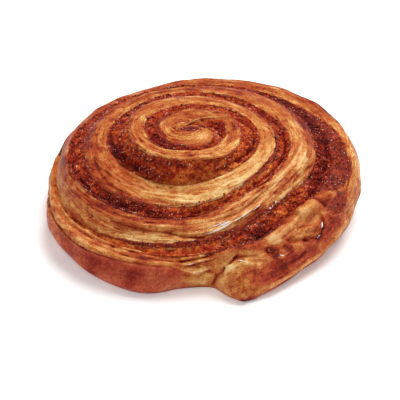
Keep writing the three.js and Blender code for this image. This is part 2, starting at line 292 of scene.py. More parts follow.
def softNoise(x, y, seed):
    # smooth noise from -1 to 1, one value for each unit square
    table = np.random.default_rng(seed).uniform(-1, 1, (noiseTable, noiseTable))
    xi, yi = np.floor(x).astype(int), np.floor(y).astype(int)
    fx, fy = smoothstep(0, 1, x - xi), smoothstep(0, 1, y - yi)
    near, far = (xi % noiseTable, (xi + 1) % noiseTable), (yi % noiseTable, (yi + 1) % noiseTable)
    left, right = [mix(table[i, far[0]], table[i, far[1]], fy) for i in near]
    return mix(left, right, fx)


# the noises on the strip and on the filling: size along, size across, seed
stripNoises = {
    "drift": (24, 9, 11),
    "fineRidge": (8, 0.45, 21),
    "broadRidge": (19, 1.15, 22),
    "lump": (6.5, 4.2, 23),
    "layerPath": (14, 3, 24),
    "layerStep": (9, 1, 25),
    "seam": (7, 1, 26),
    "skirtFold": (6, 14, 27),
    "pits": (2.4, 0.8, 31),
    "wobble": (3.4, 1, 33),
    "fineWobble": (1.4, 1, 34),
    "browning": (14, 1 / 3, 41),
    "fineBrowning": (5, 0.2, 42),
    "coatRag": (2.2, 1.5, 51),
    "broadCoatRag": (7, 3, 52),
    "clump": (1.3, 1.2, 61),
    "broadClump": (3.4, 2.6, 62),
    "grain": (0.6, 0.55, 63),
    "darkness": (9, 5, 64),
    "fillingLump": (4.6, 3.4, 65),
    "strokeRag": (2.3, 0.25, 81),
}


def stripNoise(name, along, aside):
    length, width, seed = stripNoises[name]
    return softNoise(along / length, aside / width, seed)


pathPoints = 8001


def stripPath(first, last, radiusAt, step):
    # turns that lie one step apart on the path of that radius, and the length up to each
    turns = np.linspace(first, last, pathPoints)
    radius = radiusAt(turns)
    length = np.concatenate([[0], np.cumsum(np.pi * (radius[1:] + radius[:-1]) * np.diff(turns))])
    count = int(round(length[-1] / step))
    lengths = np.linspace(0, length[-1], count + 1)
    return np.interp(lengths, length, turns), lambda turn: np.interp(turn, turns, length)


def inPlan(turn, radius, height):
    angle = -2 * np.pi * turn
    x = coil["hookStart"][0] + radius * np.cos(angle)
    y = coil["hookStart"][1] + radius * np.sin(angle)
    return np.stack([x, y, height + 0 * x], -1)


# The dough

doughMesh = {
    "step": 0.93,          # between stations, measured along the outer side
    "tailStep": 0.46,      # the same on the tail's loose end
    "tailReach": (3.05, 3.262),
    "topPoints": 46,       # across the top
    "fineRidge": 0.16,     # height of the fine lamination ridges
    "broadRidge": 0.30,
    "layerStep": 0.42,     # drop at the edge of a layer
    "layerWidth": 1.7,     # and how far apart these edges are
    "lump": 0.32,
    "skirtFold": 0.9,      # swellings of the side under the lip
    "pit": 0.4,
    "edgeWobble": 0.26,    # how ragged the edges beside the filling are
    "bareWall": 0.8,       # how far the outer wall of a strip is free of spilled filling
    "wallCoat": 0.5,       # how much filling clings to that wall below
    "coatRag": 1.8,        # how far the edge of the cinnamon coat strays
    "drift": 1.7,          # how far the layers wander across the strip
    "climb": 0.02,         # and how far they move across it for each millimetre along it
    "layerBend": 0.6,
    "layerCrest": 0.86,    # where a layer drops, as a share of its width
    "lipStart": (3.235, 3.26),
}
# how brown the crust is along the strip: 0 pale, 0.5 orange-brown, 1 nearly black
# (these rows and the spots of browning and darkness were set beside mean tones of the photo)
browningRows = [(-1.15, 0.44), (-0.6, 0.46), (-0.35, 0.5), (-0.2, 0.5), (0.05, 0.4), (0.2, 0.36),
                (0.35, 0.46), (0.47, 0.5), (0.6, 0.45), (0.85, 0.43), (1.0, 0.34), (1.15, 0.24),
                (1.27, 0.3), (1.4, 0.54), (1.6, 0.5), (1.85, 0.5), (2.0, 0.38), (2.15, 0.32), (2.27, 0.44),
                (2.4, 0.56), (2.6, 0.54), (2.8, 0.53), (2.95, 0.52), (3.05, 0.6), (3.12, 0.48), (3.2, 0.52),
                (3.3, 0.54), (3.4, 0.44), (3.5, 0.45), (3.6, 0.46)]
# how strongly the layers show along the strip
layeringRows = [(-1.15, 0.7), (0, 0.8), (0.5, 0.7), (1.0, 0.6), (1.3, 0.7), (1.6, 0.8), (1.9, 0.7),
                (2.1, 0.9), (2.3, 0.8), (2.38, 0.66), (2.6, 0.6), (2.9, 0.8), (3.03, 0.8), (3.08, 0.4),
                (3.2, 0.4), (3.26, 0.6), (3.6, 0.8)]
# how wide the cinnamon coat is on the inner and on the outer edge of the strip's top
coatInnerRows = [(-1.15, 0.0), (0, 0.3), (0.5, 0.8), (1.0, 0.6), (1.12, 1.1), (1.3, 0.7), (1.5, 0.9),
                 (1.9, 0.5), (2.1, 1.1), (2.2, 1.0), (2.3, 2.0), (2.45, 1.0), (2.75, 0.8), (2.87, 0.4),
                 (2.9, 1.5), (2.93, 4.0), (2.96, 5.2), (2.99, 7.0), (3.02, 8.3), (3.045, 6.5), (3.06, 0.6),
                 (3.085, 0.2), (3.105, 0.6), (3.125, 2.4), (3.14, 4.0), (3.16, 4.6), (3.187, 4.9),
                 (3.213, 2.6), (3.235, 1.4), (3.26, 0.2), (3.3, -0.5), (3.6, -0.5)]
coatOuterRows = [(-1.15, 0.2), (-0.8, 0.8), (-0.6, 1.4), (-0.3, 0.9), (0, 0.4), (0.2, 0.1), (0.5, 0.5),
                 (0.75, 1.2), (0.9, 0.7), (0.98, 0.8), (1.07, 0.9), (1.13, 0.4), (1.2, 0.1), (1.35, 0.5),
                 (1.5, 0.9), (1.75, 1.6), (1.92, 2.0), (2.0, 0.4), (2.07, 0.4), (2.1, 1.0), (2.15, 0.9),
                 (2.2, 1.4), (2.27, 1.2), (2.35, 0.4), (2.45, -0.3), (3.6, -0.3)]


# the parts of the section, from the inner wall over the top to the underside
sectionParts = ["wall", "shoulder", "top", "side", "under"]


def sectionStops():
    # places along the section: which part of it, and how far along that part
    shares = {
        "wall": (0, 0.4, 0.75, 0.92),
        "shoulder": np.linspace(0, 1, 6)[:-1],
        "top": np.linspace(0, 1, doughMesh["topPoints"] + 2)[:-1],
        "side": np.concatenate([np.linspace(0, 0.5, 14)[:-1], np.linspace(0.5, 1, 8)]),
        "under": (0.25, 0.5, 0.75, 1),
    }
    return np.array([(i, s) for i, name in enumerate(sectionParts) for s in shares[name]])


def inParts(stops, *names):
    return np.isin(stops[:, 0], [sectionParts.index(name) for name in names])


def alongKnots(knots, s, smooth):
    # a point a share s along the knots (a list of values), straight or smooth between them
    place = s * (len(knots) - 1)
    k = np.minimum(place.astype(int), len(knots) - 2)
    f = place - k
    knots = np.stack(knots)
    low, high = knots[k], knots[k + 1]
    if not smooth:
        return mix(low, high, f[:, None])
    before, after = knots[np.maximum(k - 1, 0)], knots[np.minimum(k + 2, len(knots) - 1)]
    f = f[:, None]
    return hermite(low, high, (high - before) / 2, (after - low) / 2, f)


def doughSections(turns, stops):
    # radius and height of every point, one row for each stop and one column for each turn
    hookTurn, tailTurn = coil["hookTurn"], coil["tailTurn"]
    inside = groove(turns)
    core = turns <= hookTurn
    footIn = np.where(core, 0, inside["opposite"])
    kneeIn = np.where(core, coil["coreMidHeight"], inside["farHeight"] - inside["depth"])
    startRadius = np.where(core, 0, inside["far"])
    startHeight = np.where(core, coil["coreHeight"], inside["farHeight"])

    after = groove(np.minimum(turns + 1, tailTurn))
    wallHeight = after["edgeHeight"] - coil["undercut"]
    shares = [1, 0.66, 0.33, 0]
    sideRadius = [after["edge"]] + [after["wall"]] * 4
    sideHeight = [after["edgeHeight"]] + [wallHeight * share for share in shares]
    bare = smoothstep(tailTurn - 1.01, tailTurn - 1 + coil["seamBlend"], turns)
    columns = [(1, 2), (3, 4), (5, 6), (7, 8), (9, None)]
    bareRadius = [curveThrough(outsideRows, c[0])(turns) for c in columns]
    bareHeight = [curveThrough(outsideRows, c[1])(turns) if c[1] else 0 * turns for c in columns]
    thin = mix(1, coil["tailLeft"], smoothstep(tailTurn - coil["tailThinning"], tailTurn, turns))
    foot = inside["opposite"] + coil["tailFoot"]
    sideRadius = [np.where(thin < 1, mix(foot, mix(a, b, bare), thin), mix(a, b, bare))
                  for a, b in zip(sideRadius, bareRadius)]
    sideHeight = [mix(a, b, bare) for a, b in zip(sideHeight, bareHeight)]
    startRadius = np.where(thin < 1, mix(inside["opposite"], inside["far"], thin), startRadius)

    share = stops[:, 1]
    radius = np.zeros((len(stops), len(turns)))
    height = np.zeros_like(radius)
    across = np.zeros_like(radius)
    wallPart, shoulderPart, topPart, sidePart, underPart = [inParts(stops, name) for name in sectionParts]
    s = share[wallPart][:, None]
    radius[wallPart], height[wallPart] = footIn + 0 * s, kneeIn * s
    s = share[shoulderPart][:, None]
    radius[shoulderPart], height[shoulderPart] = mix(footIn, startRadius, s), mix(kneeIn, startHeight, s)
    s = share[topPart][:, None]
    radius[topPart] = mix(startRadius, sideRadius[0], s)
    grown = smoothstep(hookTurn - 1, hookTurn - 0.95, turns)
    height[topPart] = mix(startHeight, sideHeight[0], s) + crust(turns[None, :], s) * thin * grown
    across[topPart] = s
    s = share[sidePart]
    straight = alongKnots(sideRadius, s, False), alongKnots(sideHeight, s, False)
    rounded = alongKnots(sideRadius, s, True), alongKnots(sideHeight, s, True)
    radius[sidePart] = mix(straight[0], rounded[0], bare)
    height[sidePart] = mix(straight[1], rounded[1], bare)
    across[sidePart] = 1 + share[sidePart][:, None]
    s = share[underPart][:, None]
    radius[underPart] = mix(sideRadius[-1], footIn, s)
    across[underPart] = 2
    across[wallPart] = -1
    across[shoulderPart] = -1 + share[shoulderPart][:, None]
    return radius, np.maximum(height, 0), across, bare


def gridNormals(points):
    along = np.gradient(points, axis=1)
    up = np.gradient(points, axis=0)
    normal = np.cross(along, up)
    size = np.linalg.norm(normal, axis=2, keepdims=True)
    return normal / np.maximum(size, 1e-9)


# the fields that make the UV map; the others become attributes
uvFields = ("along", "aside")


def closedTube(points, fields):
    # a closed tube from rows of points: rows go round it and columns go along it
    rows, columns = points.shape[:2]
    bm = bmesh.new()
    bmesh.ops.create_grid(bm, x_segments=columns - 1, y_segments=rows - 1, size=1)
    layers = {key: bm.verts.layers.float.new(key) for key in fields if key not in uvFields}
    uv = bm.loops.layers.uv.new("coil")
    where = {}
    for vert in bm.verts:
        i = round((vert.co.y + 1) / 2 * (rows - 1))
        j = round((vert.co.x + 1) / 2 * (columns - 1))
        where[vert] = (i, j)
    for face in bm.faces:
        for loop in face.loops:
            loop[uv].uv = [fields[key][where[loop.vert]] * metre for key in uvFields]
    for vert, spot in where.items():
        vert.co = points[spot] * metre
        for key, layer in layers.items():
            vert[layer] = fields[key][spot]
    bmesh.ops.remove_doubles(bm, verts=bm.verts, dist=2e-7)
    bmesh.ops.dissolve_degenerate(bm, edges=bm.edges, dist=1e-7)
    loose = [edge for edge in bm.edges if edge.is_boundary]
    print("open edges", len(loose))
    bmesh.ops.holes_fill(bm, edges=loose, sides=0)
    return bm


def finishPiece(name, bm, material, replaces=None):
    bmesh.ops.recalc_face_normals(bm, faces=bm.faces)
    for face in bm.faces:
        face.smooth = True
    mesh = bpy.data.meshes.new(name)
    bm.to_mesh(mesh)
    bm.free()
    mesh.materials.append(material)
    piece = bpy.data.objects.new(name, mesh)
    bpy.context.scene.collection.objects.link(piece)
    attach(piece, "root")
    if replaces:
        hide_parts(replaces)
    print(name, sum(len(polygon.vertices) - 2 for polygon in mesh.polygons), "triangles")
    return piece


# Finishes

def newMaterial(name):
    material = bpy.data.materials.new(name)
    material.use_nodes = True
    return material, material.node_tree, material.node_tree.nodes["Principled BSDF"]


def setSockets(tree, node, sockets):
    # links what comes from other nodes and sets the plain values
    for key, value in sockets.items():
        if isinstance(value, bpy.types.NodeSocket):
            tree.links.new(value, node.inputs[key])
        else:
            node.inputs[key].default_value = value


def addNode(tree, kind, sockets=None, **settings):
    made = tree.nodes.new(kind)
    for key, value in settings.items():
        setattr(made, key, value)
    setSockets(tree, made, sockets or {})
    return made


def centred(socket, share):
    # a term for sums: a noise from 0 to 1, spread evenly round zero
    return socket, share, -share / 2


def sums(tree, *terms):
    # adds up terms, each a socket or a (socket, factor, offset)
    total = None
    for term in terms:
        if isinstance(term, tuple):
            socket, factor, offset = term
            term = addNode(tree, "ShaderNodeMath", {0: socket, 1: factor, 2: offset},
                           operation="MULTIPLY_ADD").outputs[0]
        total = term if total is None else addNode(tree, "ShaderNodeMath", {0: total, 1: term}).outputs[0]
    return total


def ramp(tree, factor, stops):
    made = addNode(tree, "ShaderNodeValToRGB", {"Fac": factor})
    elements = made.color_ramp.elements
    while len(elements) < len(stops):
        elements.new(0.5)
    for element, (place, colour) in zip(elements, stops):
        element.position = place
        element.color = (*colour, 1)
    return made.outputs["Color"]


def noise(tree, vector, scale, detail=2.0, roughness=0.5):
    return addNode(tree, "ShaderNodeTexNoise", {
        "Vector": vector, "Scale": scale, "Detail": detail, "Roughness": roughness}).outputs[0]


def stretched(tree, vector, scale):
    return addNode(tree, "ShaderNodeMapping", {"Vector": vector, "Scale": scale}).outputs[0]


def attribute(tree, name):
    return addNode(tree, "ShaderNodeAttribute", attribute_name=name).outputs["Fac"]


def objectPlace(tree):
    return addNode(tree, "ShaderNodeTexCoord").outputs["Object"]


def mixColours(tree, factor, first, second):
    return addNode(tree, "ShaderNodeMix", {0: factor, 6: first, 7: second}, data_type="RGBA").outputs[2]


def bump(tree, height, strength, distance, normal=None):
    sockets = {"Height": height, "Strength": strength, "Distance": distance}
    if normal is not None:
        sockets["Normal"] = normal
    return addNode(tree, "ShaderNodeBump", sockets).outputs["Normal"]


doughFinish = {
    "tones": [(0.0, (0.90, 0.62, 0.28)), (0.2, (0.77, 0.38, 0.115)), (0.4, (0.58, 0.20, 0.045)),
              (0.6, (0.45, 0.085, 0.016)), (0.8, (0.29, 0.026, 0.006)), (1.0, (0.13, 0.010, 0.004))],
    "redTones": [(0.2, (0.70, 0.23, 0.100)), (0.4, (0.56, 0.115, 0.048)), (0.6, (0.43, 0.056, 0.024)),
                 (0.8, (0.27, 0.020, 0.010)), (1.0, (0.13, 0.010, 0.006))],
    "coatTones": [(0.15, (0.07, 0.006, 0.004)), (0.5, (0.24, 0.020, 0.008)), (0.85, (0.40, 0.052, 0.020))],
    "roughness": 0.4,
    "roughSpread": 0.5,
    "specular": 0.1,
    "glazeWeight": 0.02,
    "glazeRoughness": 0.2,
    "waverScale": 220.0,
    "waver": 0.0022,           # how far the lines along the strip waver, in metres
    "fineLines": (170, 2700, 1),
    "broadLines": (60, 850, 1),
    "flakes": (150, 620, 1),
    "lineShares": (1.15, 0.7, 0.16),
    # scale, detail and roughness of each noise, then the shares that they have in the tones
    "noises": {
        "blotches": (170, 4, 0.65),
        "mottle": (480, 3, 0.6),
        "speckle": (1700, 2, 0.7),
        "flour": (3000, 1, 0.5),
    },
    "crustShares": {"blotches": 0.9, "mottle": 0.5, "speckle": 0.5, "flour": 0.5},
    "coatShares": {"speckle": 2.0, "flour": 1.0, "blotches": 1.0, "mottle": 1.0},
    "coatEdgeShares": {"speckle": 1.5, "blotches": 1.4},
    "coatEdge": (0.3, 0.7),
    "coatFade": (-0.7, 1.16),  # factor and offset from the amount of coat to its tone
    "coatRoughness": -0.1,
    # how the ridge attribute lightens raised layers and darkens pits: painted light and shade
    "ridgeLightAndShade": -0.18,
    "flakeBump": 0.35,
    # strength and distance
    "lineBump": (0.6, 0.0006),
    "mottleBump": (0.5, 0.0012),
    "speckleBump": (0.6, 0.0005),
}


def doughMaterial():
    material, tree, shader = newMaterial("laminated crust")
    finish = doughFinish
    uv = addNode(tree, "ShaderNodeUVMap", uv_map="coil").outputs["UV"]
    place = objectPlace(tree)
    waver = addNode(tree, "ShaderNodeTexNoise", {
        "Vector": place, "Scale": finish["waverScale"], "Detail": 2.0}).outputs[1]
    wavy = addNode(tree, "ShaderNodeVectorMath", {0: waver, 1: (0.0, finish["waver"], 0.0), 2: uv},
                   operation="MULTIPLY_ADD").outputs[0]
    fineLines = noise(tree, stretched(tree, wavy, finish["fineLines"]), 1, 3, 0.65)
    broadLines = noise(tree, stretched(tree, wavy, finish["broadLines"]), 1, 2)
    flakes = addNode(tree, "ShaderNodeTexVoronoi", {
        "Vector": stretched(tree, wavy, finish["flakes"]), "Scale": 1.0}).outputs["Color"]
    flakeTone = addNode(tree, "ShaderNodeSeparateColor", {"Color": flakes}).outputs[0]
    noises = {key: noise(tree, place, *sizes) for key, sizes in finish["noises"].items()}
    ridge, toastAndShade, coat = attribute(tree, "ridge"), attribute(tree, "toastAndShade"), attribute(tree, "coat")

    def spread(shares):
        return [centred(noises[key], share) for key, share in finish[shares].items()]

    lines = sums(tree, *map(centred, (fineLines, broadLines, flakeTone), finish["lineShares"]))
    lines = addNode(tree, "ShaderNodeMath", {0: lines, 1: attribute(tree, "layering")},
                    operation="MULTIPLY").outputs[0]
    tone = sums(tree, toastAndShade, lines, (ridge, finish["ridgeLightAndShade"], 0), *spread("crustShares"))
    crustColour = mixColours(tree, attribute(tree, "red"), ramp(tree, tone, finish["tones"]),
                             ramp(tree, tone, finish["redTones"]))
    coatTone = sums(tree, (coat, *finish["coatFade"]), *spread("coatShares"))
    edgeStart, edgeEnd = finish["coatEdge"]
    coatMask = addNode(tree, "ShaderNodeMapRange", {
        "Value": sums(tree, coat, *spread("coatEdgeShares")),
        "From Min": edgeStart, "From Max": edgeEnd}).outputs[0]
    relief = bump(tree, sums(tree, fineLines, (flakeTone, finish["flakeBump"], 0)), *finish["lineBump"])
    relief = bump(tree, noises["mottle"], *finish["mottleBump"], relief)
    relief = bump(tree, noises["speckle"], *finish["speckleBump"], relief)
    setSockets(tree, shader, {
        "Base Color": mixColours(tree, coatMask, crustColour, ramp(tree, coatTone, finish["coatTones"])),
        "Roughness": sums(tree, (coatMask, finish["coatRoughness"], finish["roughness"]),
                          centred(noises["blotches"], finish["roughSpread"])),
        "Normal": relief,
        "Specular IOR Level": finish["specular"],
        "Coat Weight": finish["glazeWeight"],
        "Coat Roughness": finish["glazeRoughness"],
    })
    return material


fillingFinish = {
    "tones": [(0.0, (0.66, 0.19, 0.035)), (0.3, (0.50, 0.080, 0.016)), (0.55, (0.33, 0.025, 0.008)),
              (0.8, (0.18, 0.010, 0.005)), (1.0, (0.07, 0.005, 0.004))],
    "roughness": 0.45,
    "roughSpread": 0.5,
    "specular": 0.05,
    "grainScale": 1300.0,
    "clumps": (420, 4, 0.65),  # scale, detail and roughness
    "fine": (2800, 2, 0.6),
    # factor and offset in the tone
    "clumpShare": (1.8, -0.9),
    "fineShare": (1.2, -0.62),
    "grainShare": (-0.3, 0.12),
    "grainBump": -0.6,
    "fineBump": 0.5,
    "bump": (0.8, 0.0005),     # strength and distance
}


def fillingMaterial():
    material, tree, shader = newMaterial("cinnamon sugar filling")
    finish, place = fillingFinish, objectPlace(tree)
    grains = addNode(tree, "ShaderNodeTexVoronoi", {
        "Vector": place, "Scale": finish["grainScale"]}).outputs["Distance"]
    clumps = noise(tree, place, *finish["clumps"])
    fine = noise(tree, place, *finish["fine"])
    tone = sums(tree, attribute(tree, "toastAndShade"), (clumps, *finish["clumpShare"]), (fine, *finish["fineShare"]),
                (grains, *finish["grainShare"]))
    height = sums(tree, (grains, finish["grainBump"], 0), (fine, finish["fineBump"], 0))
    middle = finish["roughness"] - finish["roughSpread"] / 2
    setSockets(tree, shader, {
        "Base Color": ramp(tree, tone, finish["tones"]),
        "Roughness": sums(tree, (fine, finish["roughSpread"], middle)),
        "Normal": bump(tree, height, *finish["bump"]),
        "Specular IOR Level": finish["specular"],
    })
    return material


def grainMaterial(name, finish):
    # for the grains and the glaze streaks, both partly painted highlight: finish has the tones, the roughness
    # and the gloss
    material, tree, shader = newMaterial(name)
    tone = sums(tree, attribute(tree, "tone"), centred(noise(tree, objectPlace(tree), 900, 2), 0.4))
    setSockets(tree, shader, {
        "Base Color": ramp(tree, tone, finish["tones"]),
        "Roughness": finish["roughness"],
        "Specular IOR Level": finish["gloss"],
        "Coat Weight": finish["gloss"] / 2,
        "Coat Roughness": 0.1,
    })
    return material


def floorMaterial():
    material, tree, shader = newMaterial("pale floor")
    shade = noise(tree, objectPlace(tree), 3, 2)
    setSockets(tree, shader, {
        "Base Color": ramp(tree, shade, [(0.3, (0.93, 0.93, 0.93)), (0.7, (0.95, 0.95, 0.95))]),
        "Roughness": 0.9,
        "Emission Color": (1, 1, 1, 1),
        "Emission Strength": studio["floorGlow"],
        "Specular IOR Level": 0.1,
    })
    return material


# How the dough browned, and the relief of its layers

# spots: turn, place across the top, reach along in turns, reach across, change of browning
patches = {
    "middle and hook": [
        (-0.9, 0.15, 0.1, 0.2, 0.2), (-0.88, 0.66, 0.06, 0.16, -0.15), (-0.62, 0.3, 0.06, 0.1, -0.14),
        (-0.62, 0.95, 0.25, 0.28, 0.12), (-0.38, 0.28, 0.08, 0.12, -0.12), (-0.38, 0.65, 0.1, 0.2, 0.1),
        (-0.36, 0.25, 0.1, 0.25, -0.08), (-0.19, 0.65, 0.05, 0.2, 0.16), (-0.06, 0.0, 0.06, 0.1, 0.3),
        (-0.02, 0.72, 0.05, 0.3, 0.16),
    ],
    "first turn": [
        (0.02, 0.1, 0.04, 0.14, -0.12), (0.16, 0.08, 0.06, 0.15, 0.16), (0.2, 0.5, 0.3, 0.6, -0.05),
        (0.2, 0.88, 0.13, 0.2, -0.1), (0.27, 0.2, 0.07, 0.2, 0.16), (0.31, 0.4, 0.05, 0.25, 0.1),
        (0.4, 0.08, 0.12, 0.2, 0.1), (0.47, 0.92, 0.05, 0.14, -0.14), (0.66, 0.75, 0.12, 0.25, 0.14),
        (0.7, 0.7, 0.17, 0.15, 0.1), (0.86, 0.3, 0.06, 0.15, 0.08), (0.87, 0.72, 0.05, 0.16, 0.34),
        (0.9, 0.92, 0.05, 0.2, 0.2),
    ],
    "second turn": [
        (1.12, 0.03, 0.2, 0.12, 0.26), (1.12, 0.7, 0.08, 0.3, -0.1), (1.2, 0.88, 0.05, 0.14, -0.12),
        (1.37, 0.5, 0.035, 0.2, 0.1), (1.39, 0.95, 0.1, 0.18, 0.18), (1.44, 0.45, 0.04, 0.15, -0.06),
        (1.52, 0.92, 0.1, 0.2, 0.14), (1.62, 0.72, 0.03, 0.15, 0.16), (1.64, 0.6, 0.05, 0.3, 0.16),
        (1.73, 0.75, 0.04, 0.2, -0.12), (1.74, 0.32, 0.05, 0.15, 0.16), (1.79, 0.35, 0.06, 0.25, 0.12),
        (1.85, 0.4, 0.16, 0.5, -0.05), (1.85, 0.72, 0.07, 0.25, 0.22), (1.86, 0.15, 0.09, 0.15, -0.06),
        (1.92, 0.88, 0.05, 0.2, 0.36), (1.93, 0.92, 0.03, 0.14, 0.12), (1.94, 0.9, 0.03, 0.14, 0.14),
    ],
    "third turn": [
        (2.06, 0.5, 0.045, 0.16, -0.12), (2.07, 0.82, 0.06, 0.14, 0.1), (2.1, 0.02, 0.14, 0.1, 0.3),
        (2.12, 0.3, 0.1, 0.2, 0.08), (2.2, 0.22, 0.08, 0.16, 0.14), (2.31, 0.3, 0.03, 0.14, 0.12),
        (2.33, 0.2, 0.08, 0.22, 0.14), (2.33, 0.88, 0.16, 0.2, -0.24), (2.38, 0.65, 0.03, 0.12, -0.1),
        (2.56, 0.35, 0.08, 0.25, 0.08), (2.57, 0.4, 0.04, 0.25, 0.12), (2.7, 0.5, 0.1, 0.4, -0.04),
        (2.8, 0.3, 0.05, 0.2, 0.14), (2.9, 1.0, 0.05, 0.25, 0.24),
    ],
    "tail, lip and skirt": [
        (3.01, 1.2, 0.07, 0.22, -0.26), (3.06, 1.45, 0.02, 0.15, -0.15), (3.076, 0.72, 0.008, 0.14, -0.1),
        (3.083, 1.07, 0.022, 0.1, 0.2), (3.13, 1.08, 0.03, 0.14, 0.28), (3.135, 0.46, 0.022, 0.14, -0.2),
        (3.163, 1.2, 0.02, 0.16, 0.3), (3.175, 0.86, 0.012, 0.12, -0.14), (3.18, 0.3, 0.015, 0.15, 0.12),
        (3.185, 0.4, 0.02, 0.2, 0.14), (3.188, 1.35, 0.01, 0.3, -0.04), (3.19, 1.2, 0.01, 0.16, -0.03),
        (3.203, 0.72, 0.008, 0.14, -0.06), (3.232, 1.65, 0.014, 0.25, -0.14), (3.27, 1.7, 0.03, 0.3, -0.1),
        (3.36, 0.05, 0.14, 0.14, -0.16), (3.4, 0.75, 0.09, 0.4, 0.04), (3.43, 0.1, 0.05, 0.12, 0.14),
        (3.43, 1.8, 0.05, 0.25, -0.16), (3.56, 0.6, 0.05, 0.3, 0.28),
    ],
}
# where the crust is a smooth red-brown: name, turn, place across, reach along, reach across, amount
redAreas = [
    ("side of the tail", 3.125, 1.12, 0.04, 0.2, 0.9),
    ("side of the tail before the tip", 3.165, 1.22, 0.02, 0.2, 0.9),
    ("foot of the tail", 3.14, 1.7, 0.06, 0.15, 0.8),
    ("right of the blister", 3.083, 1.06, 0.03, 0.12, 0.9),
    ("strip at the front left", 2.42, 0.45, 0.14, 0.55, 0.3),
    ("lip", 3.4, 0.5, 0.12, 0.6, 0.45),
    ("top of the tail", 3.14, 0.55, 0.06, 0.5, 0.3),
    ("strip at the right", 2.12, 0.5, 0.12, 0.6, 0.25),
    ("slope under the glaze", 2.17, 0.94, 0.07, 0.12, 0.7),
    ("layers before the tail", 3.28, 0.3, 0.05, 0.3, 0.4),
]
# the line under the lip of the outermost turn, across the section, where the red skirt starts
lipRows = [(3.2, 1.6), (3.24, 1.5), (3.26, 1.28), (3.36, 1.23), (3.4, 1.17), (3.45, 1.16), (3.52, 1.3),
           (3.6, 1.5)]

# cinnamon sugar spilled on the top: name, turn, place across, reach along, reach across, amount
spills = [
    ("start of the filling in the hook", -0.97, 0.15, 0.06, 0.5, 1.0),
    ("granular blob before the tail", 3.152, 0.12, 0.02, 0.3, 1.25),
    ("coat beside the blister", 3.058, 0.82, 0.02, 0.24, 1.0),
    ("edge of the hole in the tail", 3.152, 0.78, 0.006, 0.12, 1.1),
    ("second hole", 3.135, 0.83, 0.005, 0.1, 1.0),
    ("spill at the front left", 2.31, 0.1, 0.05, 0.14, 0.6),
]

# spills round the start of the hook: name, x, y and reach in both directions
hookSpills = [
    ("first clump", -4.6, -1.6, 3.6, 2.0),
    ("bridge to the groove", 0.4, 0.6, 3.0, 1.5),
    ("far end of the clump", -8.2, -1.4, 1.6, 0.9),
]

strokeSteps = 9
strokeMargin = 0.06
